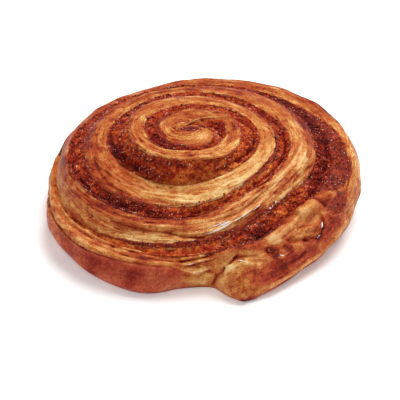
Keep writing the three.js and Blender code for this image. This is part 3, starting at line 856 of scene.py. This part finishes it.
# lines on the crust: turn and place across of both ends, half width, rise, change of tone: browning, with
# painted light on raised strokes and painted shade in sunken ones
strokes = {
    # the crease is darkened: painted shade
    "crease before the tail": [
        (3.217, 1.8, 3.214, 1.35, 0.42, -1.1, 0.5), (3.214, 1.35, 3.207, 1.12, 0.42, -1.1, 0.5),
        (3.207, 1.12, 3.191, 0.8, 0.4, -0.8, 0.36),
    ],
    "folded end of the tail": [
        (3.226, 1.75, 3.222, 1.4, 0.9, 0.5, -0.16), (3.209, 1.32, 3.203, 1.08, 1.7, 0.7, -0.34),
        (3.203, 1.08, 3.185, 0.98, 1.3, 0.6, -0.32), (3.185, 0.98, 3.172, 1.02, 0.9, 0.5, -0.3),
        (3.195, 0.86, 3.172, 0.84, 0.5, -0.6, 0.3), (3.174, 0.96, 3.182, 1.24, 0.5, -0.3, 0.22),
        (3.193, 1.3, 3.189, 1.7, 0.3, -0.3, 0.16), (3.203, 1.5, 3.2, 1.75, 0.3, -0.3, 0.16),
        (3.196, 1.4, 3.192, 1.72, 0.3, 0.3, -0.16), (3.2, 1.7, 3.196, 1.25, 0.5, -0.3, 0.12),
        (3.188, 1.75, 3.18, 1.3, 0.6, -0.3, 0.14), (3.193, 1.84, 3.182, 1.88, 1.5, 0.5, 0.5),
    ],
    "flap beside the crease": [
        (3.25, 1.38, 3.238, 1.42, 0.9, 0.6, -0.32), (3.238, 1.42, 3.225, 1.2, 0.9, 0.6, -0.32),
        (3.252, 1.54, 3.231, 1.54, 0.36, -0.7, 0.36), (3.231, 1.54, 3.22, 1.25, 0.36, -0.7, 0.36),
        (3.25, 0.72, 3.222, 0.42, 0.6, 0.5, -0.24), (3.252, 1.0, 3.216, 0.55, 0.42, -0.7, 0.34),
        (3.248, 1.18, 3.222, 0.8, 0.55, 0.5, -0.24), (3.252, 1.3, 3.224, 1.0, 0.36, -0.5, 0.28),
    ],
    "blister and neck of the tail": [
        (3.101, 0.34, 3.083, 0.42, 2.2, 1.5, -0.34), (3.152, 0.5, 3.112, 0.38, 1.2, 0.6, -0.24),
        (3.158, 0.62, 3.138, 0.6, 0.4, 0.4, -0.3), (3.142, 0.46, 3.112, 0.3, 0.3, -0.4, 0.24),
        (3.14, 0.6, 3.118, 0.52, 0.3, -0.4, 0.2), (3.078, 0.15, 3.068, 0.6, 0.6, -0.6, 0.26),
    ],
    "bump right of the neck": [
        (3.082, 0.68, 3.09, 0.94, 0.5, -0.6, 0.4), (3.09, 0.94, 3.101, 1.03, 0.5, -0.6, 0.4),
        (3.108, 0.66, 3.096, 0.8, 1.6, 1.2, -0.04), (3.114, 0.54, 3.1, 0.66, 0.5, -0.3, 0.24),
        (3.11, 0.72, 3.1, 0.86, 0.4, -0.3, 0.2), (3.13, 0.7, 3.113, 0.86, 0.8, -0.9, 0.36),
        (3.113, 0.86, 3.098, 1.03, 0.8, -0.8, 0.36),
    ],
    # the holes are darkened: painted shade
    "holes in the tail": [
        (3.155, 0.74, 3.151, 0.84, 1.4, -1.3, 0.75), (3.137, 0.76, 3.134, 0.9, 0.9, -0.9, 0.6),
    ],
    "red side of the tail": [
        (3.15, 0.94, 3.143, 0.98, 0.4, 0.5, -0.3), (3.128, 1.04, 3.12, 1.02, 0.4, 0.4, -0.26),
        (3.165, 1.36, 3.14, 1.26, 0.3, 0.3, -0.16), (3.17, 1.22, 3.12, 1.08, 0.5, -0.5, 0.14),
        (3.12, 1.1, 3.165, 1.14, 0.4, -0.4, 0.2), (3.11, 1.2, 3.155, 1.28, 0.4, -0.4, 0.18),
        (3.167, 1.5, 3.13, 1.38, 0.9, 0.4, -0.26), (3.13, 1.36, 3.06, 1.24, 0.8, 0.4, -0.24),
        (3.17, 1.68, 3.08, 1.5, 0.5, -0.4, 0.18),
    ],
    "ridge at the left": [
        (3.47, 0.12, 3.37, 0.13, 1.5, 0.6, -0.2), (3.37, 0.13, 3.3, 0.1, 1.5, 0.6, -0.2),
        (3.48, 0.42, 3.3, 0.36, 0.45, -0.6, 0.2),
    ],
    "lip and its shadow": [
        (3.36, 1.1, 3.26, 1.14, 0.8, 0.5, -0.12), (3.47, 0.92, 3.36, 1.08, 0.8, 0.5, -0.1),
        (3.48, 1.14, 3.4, 1.16, 0.45, -0.9, 0.34), (3.4, 1.16, 3.36, 1.23, 0.45, -0.9, 0.34),
        (3.36, 1.23, 3.262, 1.28, 0.4, -0.8, 0.3),
    ],
    "step and slope at the front": [
        (2.345, 0.62, 2.27, 0.63, 0.45, -0.7, 0.36), (2.27, 0.63, 2.222, 0.84, 0.45, -0.7, 0.36),
        (2.34, 0.5, 2.25, 0.5, 0.7, 0.5, -0.12), (2.225, 0.74, 2.135, 0.71, 0.7, 0.6, -0.05),
        (2.23, 0.92, 2.13, 0.9, 1.4, -0.3, 0.34),
    ],
    "left, back and right": [
        (1.45, 0.68, 1.4, 0.83, 0.6, -0.4, 0.22), (1.4, 0.83, 1.34, 0.9, 0.6, -0.3, 0.2),
        (1.99, 0.96, 1.84, 0.9, 0.8, -0.5, 0.25), (3.05, 1.0, 2.99, 0.8, 0.4, -0.4, 0.25),
        (2.99, 0.8, 2.9, 0.2, 0.4, -0.4, 0.25), (3.04, 1.14, 2.95, 0.9, 0.8, 0.4, -0.14),
        (2.0, 0.45, 2.09, 0.35, 0.9, 0.3, -0.16), (2.02, 0.74, 2.045, 0.74, 1.5, 0.8, -0.24),
        (2.05, 0.6, 2.075, 0.95, 0.35, -0.4, 0.22), (2.1, 0.62, 2.0, 0.66, 0.6, 0.5, -0.1),
        (0.3, 0.3, 0.12, 0.36, 0.5, 0.4, -0.1),
    ],
}


def nearness(turn, across, place, aside, reachTurn, reachAcross):
    return np.exp(-((turn - place) / reachTurn) ** 2 - ((across - aside) / reachAcross) ** 2)


def spotsOf(table, turn, across):
    # the sum of the soft spots of a table
    rows = sum(table.values(), [])
    return sum(change * nearness(turn, across, *spot) for *spot, change in rows)


def layerRelief(along, aside, turn, across, bare):
    # raised and sunken lines along the strip, where its thin layers end
    shape = doughMesh
    level = aside + shape["drift"] * stripNoise("drift", along, aside) + shape["climb"] * along
    fine, broad = stripNoise("fineRidge", along, level), stripNoise("broadRidge", along, level)
    place = level / shape["layerWidth"] + shape["layerBend"] * stripNoise("layerPath", along, level)
    layer = np.floor(place)
    fall = place - layer
    step = np.minimum(fall / shape["layerCrest"], (1 - fall) / (1 - shape["layerCrest"])) - 0.5
    step = step * smoothstep(-0.5, 0.4, stripNoise("layerStep", along, layer + 0.5))
    seam = smoothstep(0.66, shape["layerCrest"], fall) * (1 - smoothstep(0.9, 1.0, fall))
    seam = seam * smoothstep(-0.2, 0.5, stripNoise("seam", along, layer + 0.5))
    pits = smoothstep(0.5, 0.85, stripNoise("pits", along, level))
    skirt = smoothstep(1.4, 1.7, across)
    layering = curveThrough(layeringRows)(turn)
    ends = smoothstep(-0.02, 0.06, across) * (1 - smoothstep(0.95, 1.0, across) * (1 - bare))
    mask = ends * (1 - smoothstep(1.72, 1.93, across))
    calm = layering * (1 - 0.85 * skirt)
    relief = (shape["fineRidge"] * fine + shape["broadRidge"] * broad + shape["layerStep"] * step
              - shape["pit"] * pits) * calm + shape["lump"] * stripNoise("lump", along, aside)
    # ridge: how raised the layers are; it paints crests lighter and pits darker as light and shade
    ridge = (0.5 * fine + 0.6 * broad + 0.7 * step - 1.2 * pits) * calm
    folds = shape["skirtFold"] * bare * (across > 1) * smoothstep(1.3, 1.5, across)
    folds = folds * stripNoise("skirtFold", along, aside)
    relief = relief * mask + folds * (1 - 0.6 * smoothstep(1.75, 1.95, across))
    # the third value darkens the pits and the drop at each layer's edge: painted shade
    return relief, ridge * mask, (0.7 * pits + 1.2 * seam * layering) * mask * (1 - skirt)


def browning(along, turn, across, bare):
    toastAndShade = curveThrough(browningRows)(turn) + spotsOf(patches, turn, across)
    toastAndShade = toastAndShade + 0.11 * stripNoise("browning", along, across)
    toastAndShade = toastAndShade + 0.13 * stripNoise("fineBrowning", along, across)
    toastAndShade = toastAndShade + 0.05 * np.exp(-((across - 0.45) / 0.25) ** 2)
    underLip = smoothstep(*doughMesh["lipStart"], turn)
    # slightly darker just below the lip of the outermost turn: painted shade; also darker low on the bare
    # outer side
    return (toastAndShade + bare * 0.04 * smoothstep(1.35, 1.6, across)
            + 0.05 * underLip * smoothstep(1.2, 1.28, across) * (1 - smoothstep(1.6, 1.9, across)))


def redSkin(turn, across, bare):
    # how far the crust is a red-brown skin without layers
    lip = np.interp(turn, *np.transpose(lipRows))
    skirt = bare * smoothstep(1.45, 1.7, across) * (turn < 3.05)
    red = np.maximum(skirt, smoothstep(3.24, 3.255, turn) * smoothstep(lip, lip + 0.07, across))
    for _, *spot, amount in redAreas:
        red = np.maximum(red, amount * nearness(turn, across, *spot))
    return red


def onSheet(sheet, rows, turns, across, turn):
    # the values of a grid at places given by turn and place across
    i = np.interp(across, rows[0], rows[1])
    j = np.interp(turn, turns, np.arange(len(turns)))
    low, left = np.minimum(i.astype(int), len(sheet) - 2), np.minimum(j.astype(int), len(turns) - 2)
    fi, fj = (i - low)[..., None], (j - left)[..., None]
    before = mix(sheet[low, left], sheet[low, left + 1], fj)
    return mix(before, mix(sheet[low + 1, left], sheet[low + 1, left + 1], fj), fi)


def rowsAcross(stops):
    # the place across of every row on the top and the side, and the numbers of these rows
    shown = np.flatnonzero(inParts(stops, "top", "side"))
    return stops[shown, 0] - sectionParts.index("top") + stops[shown, 1], shown


def strokeMarks(points, stops, turns, along, across):
    # the rise and the change of tone that the strokes add: browning, with painted light and shade
    rise, tone = np.zeros(across.shape), np.zeros(across.shape)
    rows = rowsAcross(stops)
    share = np.linspace(0, 1, strokeSteps)
    for turnA, acrossA, turnB, acrossB, half, height, change in sum(strokes.values(), []):
        path = onSheet(points, rows, turns, mix(acrossA, acrossB, share), mix(turnA, turnB, share))
        near = (turns > min(turnA, turnB) - strokeMargin) & (turns < max(turnA, turnB) + strokeMargin)
        near = np.flatnonzero(near)
        patch = points[:, near]
        distance = np.full(patch.shape[:2], np.inf)
        for start, end in zip(path[:-1], path[1:]):
            reach = end - start
            t = np.clip((patch - start) @ reach / (reach @ reach), 0, 1)
            distance = np.minimum(distance, np.linalg.norm(patch - start - t[..., None] * reach, axis=2))
        rag = 1 + 0.35 * stripNoise("strokeRag", along[:, near], across[:, near])
        mark = np.exp(-(distance / (half * rag)) ** 2) * (across[:, near] >= 0)
        rise[:, near] += height * mark
        tone[:, near] += change * mark
    return rise, tone


def coatOfCinnamon(along, aside, turn, across, width, plan):
    # 1 where cinnamon sugar spilled from the groove onto the top of the strip
    rag = 0.9 * stripNoise("coatRag", along, aside) + 0.6 * stripNoise("broadCoatRag", along, aside)
    inner = curveThrough(coatInnerRows)(turn)
    strayed = inner + 0.5 * rag * np.minimum(inner, doughMesh["coatRag"])
    inner = 1 - smoothstep(-0.5, 0.7, across * width - strayed)
    strayed = curveThrough(coatOuterRows)(turn) * (1 + 0.5 * rag)
    outer = 1 - smoothstep(-0.5, 0.7, (1 - across) * width - strayed)
    outer = outer * (1 - doughMesh["bareWall"] * smoothstep(0.97, 1.05, across))
    coat = np.maximum(inner, outer * (turn < coil["tailTurn"] - 1))
    for _, *spot, amount in spills:
        coat = np.maximum(coat, amount * smoothstep(0.25, 0.6, nearness(turn, across, *spot) + 0.2 * rag))
    onHook = (turn < 1) * (across <= 1.2)
    for _, x, y, reachX, reachY in hookSpills:
        near = nearness(plan[..., 0], plan[..., 1], x, y, reachX, reachY)
        coat = np.maximum(coat, 1.35 * smoothstep(0.25, 0.5, near + 0.15 * rag) * onHook)
    return coat


def edgeAt(turn):
    # the outer edge of the strip, a little out, which sets the distance between its stations
    return groove(np.minimum(turn + 1, coil["tailTurn"]))["edge"] + 2


def middleAt(turn):
    return (outerRadius(turn) * (turn > coil["hookTurn"]) + edgeAt(turn)) / 2


def doughTurns(first):
    # the stations along the strip, closer together on the tail
    fineFrom, fineTo = doughMesh["tailReach"]
    turns = np.concatenate([
        stripPath(first + coil["startStep"], fineFrom, edgeAt, doughMesh["step"])[0],
        stripPath(fineFrom, fineTo, edgeAt, doughMesh["tailStep"])[0][1:],
        stripPath(fineTo, coil["tailTurn"], edgeAt, doughMesh["step"])[0][1:]])
    keep = (turns < coil["hookTurn"] - coil["seamRoom"]) | (turns > coil["hookTurn"] + coil["seamStep"])
    turns = np.concatenate([[first], turns[keep], [coil["hookTurn"]]])
    turns.sort()
    return turns


def makeDough():
    stops = sectionStops()
    first = coil["hookTurn"] - 1
    turns = doughTurns(first)
    radius, height, across, bare = doughSections(turns, stops)
    # all of the first section lies on the axis
    radius[:, 0] = 0
    height[inParts(stops, "side", "under"), 0] = 0
    height[inParts(stops, "top"), 0] = coil["coreMidHeight"]
    topStart = int(np.argmax(inParts(stops, "top")))
    height[topStart, 0] = coil["coreHeight"]

    turnGrid = np.broadcast_to(turns, radius.shape)
    _, lengthTo = stripPath(first, coil["tailTurn"], middleAt, 1)
    along = np.broadcast_to(lengthTo(turns), radius.shape)
    steps = np.hypot(np.diff(radius, axis=0), np.diff(height, axis=0))
    aside = np.vstack([np.zeros(len(turns)), np.cumsum(steps, axis=0)])
    topEnd = topStart + doughMesh["topPoints"] + 1
    width = aside[topEnd] - aside[topStart]
    aside = aside - aside[topStart]
    wobble = stripNoise("wobble", along, across) + 0.4 * stripNoise("fineWobble", along, across)
    atOuter = np.exp(-((across - 1) / 0.13) ** 2) * (1 - bare)
    atInner = np.exp(-(across / 0.08) ** 2) * (across >= 0)
    radius = radius + doughMesh["edgeWobble"] * wobble * (atOuter - 0.6 * atInner) * (radius > 5)
    points = inPlan(turnGrid, radius, height)
    normals = gridNormals(points)
    normals = normals * np.sign(np.median(normals[topStart + 5:topEnd - 5, 50:, 2]))
    relief, ridge, pits = layerRelief(along, aside, turnGrid, across, bare)
    rise, tone = strokeMarks(points, stops, turns, along, across)
    relief = relief * smoothstep(first + 0.05, first + 0.3, turnGrid) + rise
    points = points + normals * relief[..., None]
    points[..., 2] = np.maximum(points[..., 2], 0)
    coat = coatOfCinnamon(along, aside, turnGrid, across, width, points)
    outerWall = doughMesh["wallCoat"] * (across > 1.12) * (1 - bare)
    lipEdge = mix(1.4, 1.2, smoothstep(*doughMesh["lipStart"], turnGrid))
    layering = curveThrough(layeringRows)(turnGrid)
    fields = {
        "along": along,
        "aside": aside,
        # browning plus painted shade from pits, layer edges, strokes and under the lip
        "toastAndShade": browning(along, turnGrid, across, bare) + 0.18 * pits + tone,
        "ridge": ridge,
        "coat": np.maximum(coat, np.maximum(across < 0, outerWall)),
        "layering": layering * (1 - 0.8 * smoothstep(lipEdge, lipEdge + 0.1, across)),
        "red": redSkin(turnGrid, across, bare),
    }
    finishPiece("crust", closedTube(points, fields), doughMaterial(), "dough")
    return points, normals, fields, stops, turns


crustPoints, crustNormals, crustFields, crustStops, crustTurns = makeDough()


# The filling

fillingMesh = {
    "start": -0.105,
    "end": 3.54,
    "step": 0.5,
    "topPoints": 26,
    "lap": 0.7,            # how far the filling reaches over both edges of the groove
    "drop": 0.25,
    "dish": 0.08,
    "foot": 0.4,
    "tipInset": 0.08,
    "tipHeight": 0.12,
    "lump": 0.5,
    "clump": 0.5,
    "grain": 0.28,
    "crackPlace": 0.45,    # how far inside the outer strip the crack beside it runs
    "crackWidth": 0.65,
    # how much darker the filling is along the crack: painted shade
    "crackShade": 0.42,
}
# how dark the filling is along the groove: 0 orange-brown, 1 nearly black
darknessRows = [(-0.15, 0.5), (0, 0.6), (0.2, 0.56), (0.3, 0.66), (0.5, 0.66), (0.7, 0.52), (0.9, 0.52),
                (1, 0.58), (1.1, 0.4), (1.25, 0.4), (1.45, 0.6), (1.6, 0.62), (1.75, 0.38), (1.87, 0.6),
                (2, 0.72), (2.12, 0.4), (2.2, 0.52), (2.35, 0.7), (2.6, 0.56), (2.8, 0.38), (2.9, 0.8),
                (3.05, 0.68), (3.15, 0.52), (3.3, 0.46), (3.4, 0.5), (3.54, 0.24)]

# spots: turn, place across the filling, reach along in turns, reach across, change of darkness
fillingPatches = {
    "hook": [
        (-0.12, 0.8, 0.04, 0.4, -0.2), (0.0, 0.75, 0.035, 0.4, 0.36), (0.03, 0.4, 0.1, 0.3, -0.1),
    ],
    "first turn": [
        (0.28, 0.85, 0.09, 0.35, 0.3), (0.38, 0.5, 0.12, 0.8, 0.22), (0.6, 0.4, 0.07, 0.5, 0.16),
        (0.74, 0.5, 0.1, 0.8, -0.06),
    ],
    "second turn": [
        (1.0, 0.35, 0.12, 0.25, -0.22), (1.17, 0.85, 0.14, 0.3, -0.2), (1.18, 0.5, 0.05, 0.3, -0.18),
        (1.24, 0.55, 0.03, 0.2, -0.15), (1.25, 0.1, 0.2, 0.3, 0.12), (1.32, 0.3, 0.12, 0.1, 0.2),
        (1.42, 0.8, 0.08, 0.4, 0.2), (1.46, 0.1, 0.08, 0.25, -0.16), (1.5, 0.1, 0.15, 0.2, -0.1),
        (1.9, 0.5, 0.06, 0.45, 0.18),
    ],
    "third turn": [
        (2.02, 0.35, 0.08, 0.22, -0.22), (2.1, 0.15, 0.08, 0.3, -0.16), (2.12, 0.1, 0.04, 0.25, -0.16),
        (2.21, 0.4, 0.03, 0.5, -0.16), (2.86, 0.5, 0.05, 1.0, 0.3), (2.96, 0.6, 0.06, 0.3, 0.2),
    ],
    "last turn": [
        (3.08, 0.3, 0.05, 0.5, -0.1), (3.155, 0.8, 0.022, 0.5, 0.4), (3.37, 0.85, 0.05, 0.3, 0.18),
        (3.44, 0.5, 0.16, 1.5, -0.28),
    ],
}

# how deep the crack is between the filling and the strip outside it, and how much painted shade darkens it
crackRows = [(-0.15, 0.6), (0.0, 0.9), (0.15, 0.8), (0.3, 0.4), (0.6, 0.6), (0.85, 1.2), (1.0, 1.5),
             (1.12, 0.8), (1.3, 0.5), (1.5, 0.6), (1.75, 0.6), (1.9, 1.4), (2.02, 1.4), (2.12, 0.5),
             (2.25, 0.3), (2.5, 0.5), (2.75, 0.6), (2.9, 0.7), (3.0, 0.7), (3.1, 0.3), (3.2, 0.2),
             (3.54, 0.2)]
# spots: turn, place across the filling, reach along in turns, reach across, rise
fillingDents = {
    "swelling of the wall": [(1.25, 0.45, 0.16, 0.25, 0.7)],
    "blob before the tail": [(3.16, 0.6, 0.02, 0.6, 1.0)],
}


def fillingSections(turns):
    # radius and height of every point, one row for each point round the section, and its part:
    # 0 the inner wall, 1 to 2 the top, 3 the outer side and the foot
    shape = fillingMesh
    at = groove(turns)
    slant = np.hypot(at["shoulder"], at["depth"])
    offset = -at["space"] * at["depth"] / slant, at["space"] * at["shoulder"] / slant
    reach = 1 - shape["tipInset"]
    tip = (at["opposite"] + reach * at["shoulder"] + offset[0],
           at["farHeight"] - at["depth"] + reach * at["depth"] + offset[1])
    top = at["edge"] - shape["lap"], at["edgeHeight"] - shape["drop"]
    over = at["far"] + shape["lap"], at["farHeight"] + shape["tipHeight"]
    wall = at["wall"] + at["space"]
    wallTop = at["edgeHeight"] - coil["undercut"] - at["space"]
    kneeRadius, kneeHeight = at["opposite"] - at["space"], at["farHeight"] - at["depth"]
    foot = 0 * turns + shape["foot"]
    dish = 4 * shape["dish"] * (at["far"] - at["edge"])
    shares = np.linspace(0, 1, shape["topPoints"])
    radius = [wall] * 3 + [mix(top[0], over[0], s) for s in shares]
    radius += [tip[0], mix(tip[0], kneeRadius, 0.5), kneeRadius, kneeRadius, kneeRadius, wall]
    height = [foot, wallTop * 0.5, wallTop]
    height += [mix(top[1], over[1], s) - dish * s * (1 - s) for s in shares]
    height += [tip[1], mix(tip[1], kneeHeight, 0.5), kneeHeight, kneeHeight * 0.5, foot, foot]
    part = [0] * 3 + [1 + s for s in shares] + [3] * 6
    return np.stack(radius), np.stack(height), np.array(part)


def middleOfGroove(turn):
    return (innerRadius(turn) + outerRadius(turn)) / 2


def makeFilling():
    shape = fillingMesh
    turns, lengthTo = stripPath(shape["start"], shape["end"], middleOfGroove, shape["step"])
    radius, height, part = fillingSections(turns)
    turnGrid = np.broadcast_to(turns, radius.shape)
    along = np.broadcast_to(lengthTo(turns), radius.shape)
    steps = np.hypot(np.diff(radius, axis=0), np.diff(height, axis=0))
    aside = np.vstack([np.zeros(len(turns)), np.cumsum(steps, axis=0)])
    aside = aside - aside[np.argmax(part == 1)]
    points = inPlan(turnGrid, radius, height)
    onTop = (part >= 1) & (part <= 2)
    normals = gridNormals(points)
    normals = normals * np.sign(np.median(normals[onTop, :, 2]))
    share, onTop = np.clip(part - 1, 0, 1)[:, None], onTop[:, None]
    mask = onTop * (0.35 + 0.65 * smoothstep(0, 0.2, share) * (1 - smoothstep(0.85, 1, share)))
    clump = stripNoise("clump", along, aside) + 0.6 * stripNoise("broadClump", along, aside)
    lump, grain = stripNoise("fillingLump", along, aside), stripNoise("grain", along, aside)
    relief = (shape["lump"] * lump + shape["clump"] * clump + shape["grain"] * grain) * mask
    at = groove(turns)
    fromOuter = (1 - share) * (at["far"] - at["edge"] + 2 * shape["lap"]) - shape["lap"]
    crack = np.exp(-((fromOuter - shape["crackPlace"]) / shape["crackWidth"]) ** 2) * onTop
    crack = crack * curveThrough(crackRows)(turns)
    relief = relief - crack + mask * spotsOf(fillingDents, turnGrid, share)
    points = points + normals * relief[..., None]
    toastAndShade = curveThrough(darknessRows)(turnGrid) + 0.1 * stripNoise("darkness", along, aside)
    # darker along the crack: painted shade
    toastAndShade = toastAndShade - 0.12 * clump - 0.1 * lump + shape["crackShade"] * crack
    toastAndShade = toastAndShade + spotsOf(fillingPatches, turnGrid, share)
    fields = {"along": along, "aside": aside, "toastAndShade": toastAndShade}
    finishPiece("filling_band", closedTube(points, fields), fillingMaterial(), "filling")
    return points, normals, part, turns, fields


fillingPoints, fillingNormals, fillingPart, fillingTurns, fillingFields = makeFilling()


# Grains of cinnamon sugar on the filling and on the coated crust

grainKinds = [
    {
        "name": "cinnamon_crumbs",
        "count": 6144,
        "spilled": 0.12,       # the share of them that lies on the crust
        "follows": 1.0,        # how far their tone follows that of the filling under them
        "radius": (0.16, 0.62),
        "seed": 71,
        "tones": [(0.0, (0.09, 0.006, 0.004)), (0.5, (0.30, 0.024, 0.008)), (1.0, (0.58, 0.13, 0.03))],
        "roughness": 0.4,
        "gloss": 0.12,
    },
    {
        "name": "sugar_grains_and_painted_glints",
        "count": 3072,
        "spilled": 0.2,
        "follows": 0.4,
        "radius": (0.09, 0.24),
        "seed": 72,
        # real sugar grains; their palest tones stand for glints on them: painted highlights
        "tones": [(0.0, (0.30, 0.035, 0.020)), (0.6, (0.62, 0.24, 0.16)), (1.0, (0.93, 0.72, 0.60))],
        "roughness": 0.15,
        "gloss": 0.5,
    },
]
scatter = {
    "clusterSize": (2.1, 1.6),
    "end": (3.2, 3.26),        # turns where the grains on the filling thin out
    "stretch": (0.7, 1.25),
    "lift": 0.3,               # of the middle of a grain, as a share of its radius
    "spilledTone": 0.6,
    "toneSpread": 0.8,
}
# where more grains lie: name, turn, reach in turns, gain
grainBeds = [
    ("front left", 2.34, 0.06, 2.0),
    ("left of the wall", 1.36, 0.08, 0.8),
    ("before the tail", 3.16, 0.03, 2.5),
    ("far right", 2.96, 0.06, 0.8),
]


def grainSpots(points, normals, weight, count, random):
    # places picked at random over a grid of points, by area and weight
    a, b, c = points[:-1, :-1], points[1:, :-1], points[:-1, 1:]
    area = np.linalg.norm(np.cross(b - a, c - a), axis=2) * (weight[:-1, :-1] + weight[1:, 1:]) / 2
    picked = random.choice(area.size, count, p=(area / area.sum()).ravel())
    i, j = np.unravel_index(picked, area.shape)
    u, v = random.random((2, count, 1))
    return a[i, j] + (b - a)[i, j] * u + (c - a)[i, j] * v, normals[i, j], (i, j)


def randomTurns(random, count):
    q = random.normal(size=(count, 4))
    w, x, y, z = (q / np.linalg.norm(q, axis=1, keepdims=True)).T
    rows = [1 - 2 * (y * y + z * z), 2 * (x * y - z * w), 2 * (x * z + y * w),
            2 * (x * y + z * w), 1 - 2 * (x * x + z * z), 2 * (y * z - x * w),
            2 * (x * z - y * w), 2 * (y * z + x * w), 1 - 2 * (x * x + y * y)]
    return np.stack(rows, 1).reshape(-1, 3, 3)


def scatterGrains(kind):
    random = np.random.default_rng(kind["seed"])
    along, aside, toastAndShade = [fillingFields[key] for key in ("along", "aside", "toastAndShade")]
    length, breadth = scatter["clusterSize"]
    clusters = softNoise(along / length, aside / breadth, kind["seed"])
    share = np.clip(fillingPart - 1, 0, 1)[:, None]
    onTop = ((fillingPart >= 1) & (fillingPart <= 2))[:, None]
    onTop = onTop * (1 - smoothstep(*scatter["end"], fillingTurns))
    onTop = onTop * smoothstep(-0.5, 0.7, clusters) * (0.5 + np.abs(2 * share - 1))
    for _, place, reach, gain in grainBeds:
        onTop = onTop * (1 + gain * np.exp(-((fillingTurns - place) / reach) ** 2))
    shown = inParts(crustStops, "top", "side")
    shownTop = (crustFields["coat"] > 0.5) * shown[:, None] * 1.0
    spill = int(kind["count"] * kind["spilled"])
    first = grainSpots(fillingPoints, fillingNormals, onTop, kind["count"] - spill, random)
    second = grainSpots(crustPoints, crustNormals, shownTop, spill, random)
    spots, normals = np.vstack([first[0], second[0]]), np.vstack([first[1], second[1]])
    dark = np.concatenate([toastAndShade[first[2]], np.full(spill, scatter["spilledTone"])])
    count = len(spots)
    bm = bmesh.new()
    bmesh.ops.create_icosphere(bm, subdivisions=1, radius=1)
    corners = np.array([vert.co[:] for vert in bm.verts])
    while len(bm.verts) < count * len(corners):
        bmesh.ops.duplicate(bm, geom=bm.verts[:] + bm.edges[:] + bm.faces[:])
    bm.verts.ensure_lookup_table()
    bmesh.ops.delete(bm, geom=bm.verts[count * len(corners):], context="VERTS")
    small, large = kind["radius"]
    size = mix(small, large, random.random((count, 1, 1)) ** 2)
    size = size * random.uniform(*scatter["stretch"], (count, 1, 3))
    shape = np.einsum("kij,kcj->kci", randomTurns(random, count), corners[None] * size)
    centre = spots + normals * size.mean(axis=2) * scatter["lift"]
    centre[:, 2] = np.maximum(centre[:, 2], large)
    places = (centre[:, None] + shape).reshape(-1, 3) * metre
    tones = 1.05 - dark * kind["follows"] + scatter["toneSpread"] * (random.random(count) - 0.5)
    tones = np.clip(tones, 0, 1)
    layer = bm.verts.layers.float.new("tone")
    for vert, place, tone in zip(bm.verts, places, np.repeat(tones, len(corners))):
        vert.co = place
        vert[layer] = tone
    piece = finishPiece(kind["name"], bm, grainMaterial(kind["name"].replace("_", " "), kind))
    for polygon in piece.data.polygons:
        polygon.use_smooth = False


for grainKind in grainKinds:
    scatterGrains(grainKind)


# Thin glossy streaks of glaze along the ridges, coloured near white: painted highlights and glints

# name, turn and place across of both ends, half width
highlightStreaks = [
    ("long streak at the front", 2.222, 0.76, 2.185, 0.72, 0.34),
    ("second part of the streak", 2.18, 0.72, 2.15, 0.7, 0.3),
    ("end of the streak", 2.147, 0.72, 2.132, 0.71, 0.22),
    ("wide part of the streak", 2.202, 0.7, 2.184, 0.69, 0.42),
    ("thin line above it", 2.215, 0.66, 2.19, 0.64, 0.14),
    ("glint on the red line", 3.092, 0.9, 3.086, 0.8, 0.3),
    ("glint below it", 3.1, 1.04, 3.096, 1.0, 0.24),
    ("glint on the lobe of the tail", 3.192, 0.92, 3.184, 0.95, 0.14),
    ("glint between the holes", 3.147, 0.9, 3.143, 0.95, 0.18),
    ("glint on the flap", 3.236, 1.38, 3.228, 1.28, 0.12),
    ("glint above the flap", 3.245, 1.16, 3.236, 1.06, 0.1),
    ("glint on the red slope", 2.122, 0.95, 2.115, 0.93, 0.34),
    ("second glint on the slope", 2.112, 0.91, 2.106, 0.9, 0.26),
]
glazeHighlight = {
    "stepsAlong": 48,
    "stepsAcross": 6,
    "lift": 0.07,
    "thickness": 0.1,
    # near-white tones of the streaks: painted highlight
    "tones": [(0.35, (0.80, 0.62, 0.55)), (0.65, (0.95, 0.88, 0.84))],
    "roughness": 0.2,
    "gloss": 0.5,
}


def paintHighlightStreak(bm, turnA, acrossA, turnB, acrossB, half, seed):
    made = bmesh.ops.create_grid(bm, x_segments=glazeHighlight["stepsAlong"], y_segments=glazeHighlight["stepsAcross"], size=1)
    made = made["verts"]
    s = np.array([(vert.co.x + 1) / 2 for vert in made])
    w = np.array([vert.co.y for vert in made])
    rows = rowsAcross(crustStops)

    def onCrust(sheet, s):
        return onSheet(sheet, rows, crustTurns, mix(acrossA, acrossB, s), mix(turnA, turnB, s))

    middle, normal = onCrust(crustPoints, s), onCrust(crustNormals, s)
    ahead = onCrust(crustPoints, s + 0.02)
    sideways = np.cross(normal, ahead - middle)
    sideways /= np.maximum(np.linalg.norm(sideways, axis=1, keepdims=True), 1e-9)
    taper = np.sqrt(np.clip(4 * s * (1 - s), 0, 1)) * (1 + 0.5 * softNoise(s * 14, 0 * s, seed))
    place = middle + sideways * (w * half * taper)[:, None]
    place += normal * (glazeHighlight["lift"] + glazeHighlight["thickness"] * (1 - w**2))[:, None]
    layer = bm.verts.layers.float["tone"]
    for vert, spot, tone in zip(made, place, 0.5 + 0.5 * softNoise(s * 20, w * 2, seed + 1)):
        vert.co = spot * metre
        vert[layer] = tone


highlightBm = bmesh.new()
highlightBm.verts.layers.float.new("tone")
for seed, (_, *ends) in enumerate(highlightStreaks):
    paintHighlightStreak(highlightBm, *ends, seed + 91)
finishPiece("painted_highlight_streaks", highlightBm, grainMaterial("glossy painted highlight", glazeHighlight))


# Floor

floorBm = bmesh.new()
bmesh.ops.create_grid(floorBm, x_segments=4, y_segments=4, size=studio["floorSize"] / 2)
floorMesh = bpy.data.meshes.new("floor")
floorBm.to_mesh(floorMesh)
floorBm.free()
floorMesh.materials.append(floorMaterial())
floor = bpy.data.objects.new("floor", floorMesh)
bpy.context.scene.collection.objects.link(floor)
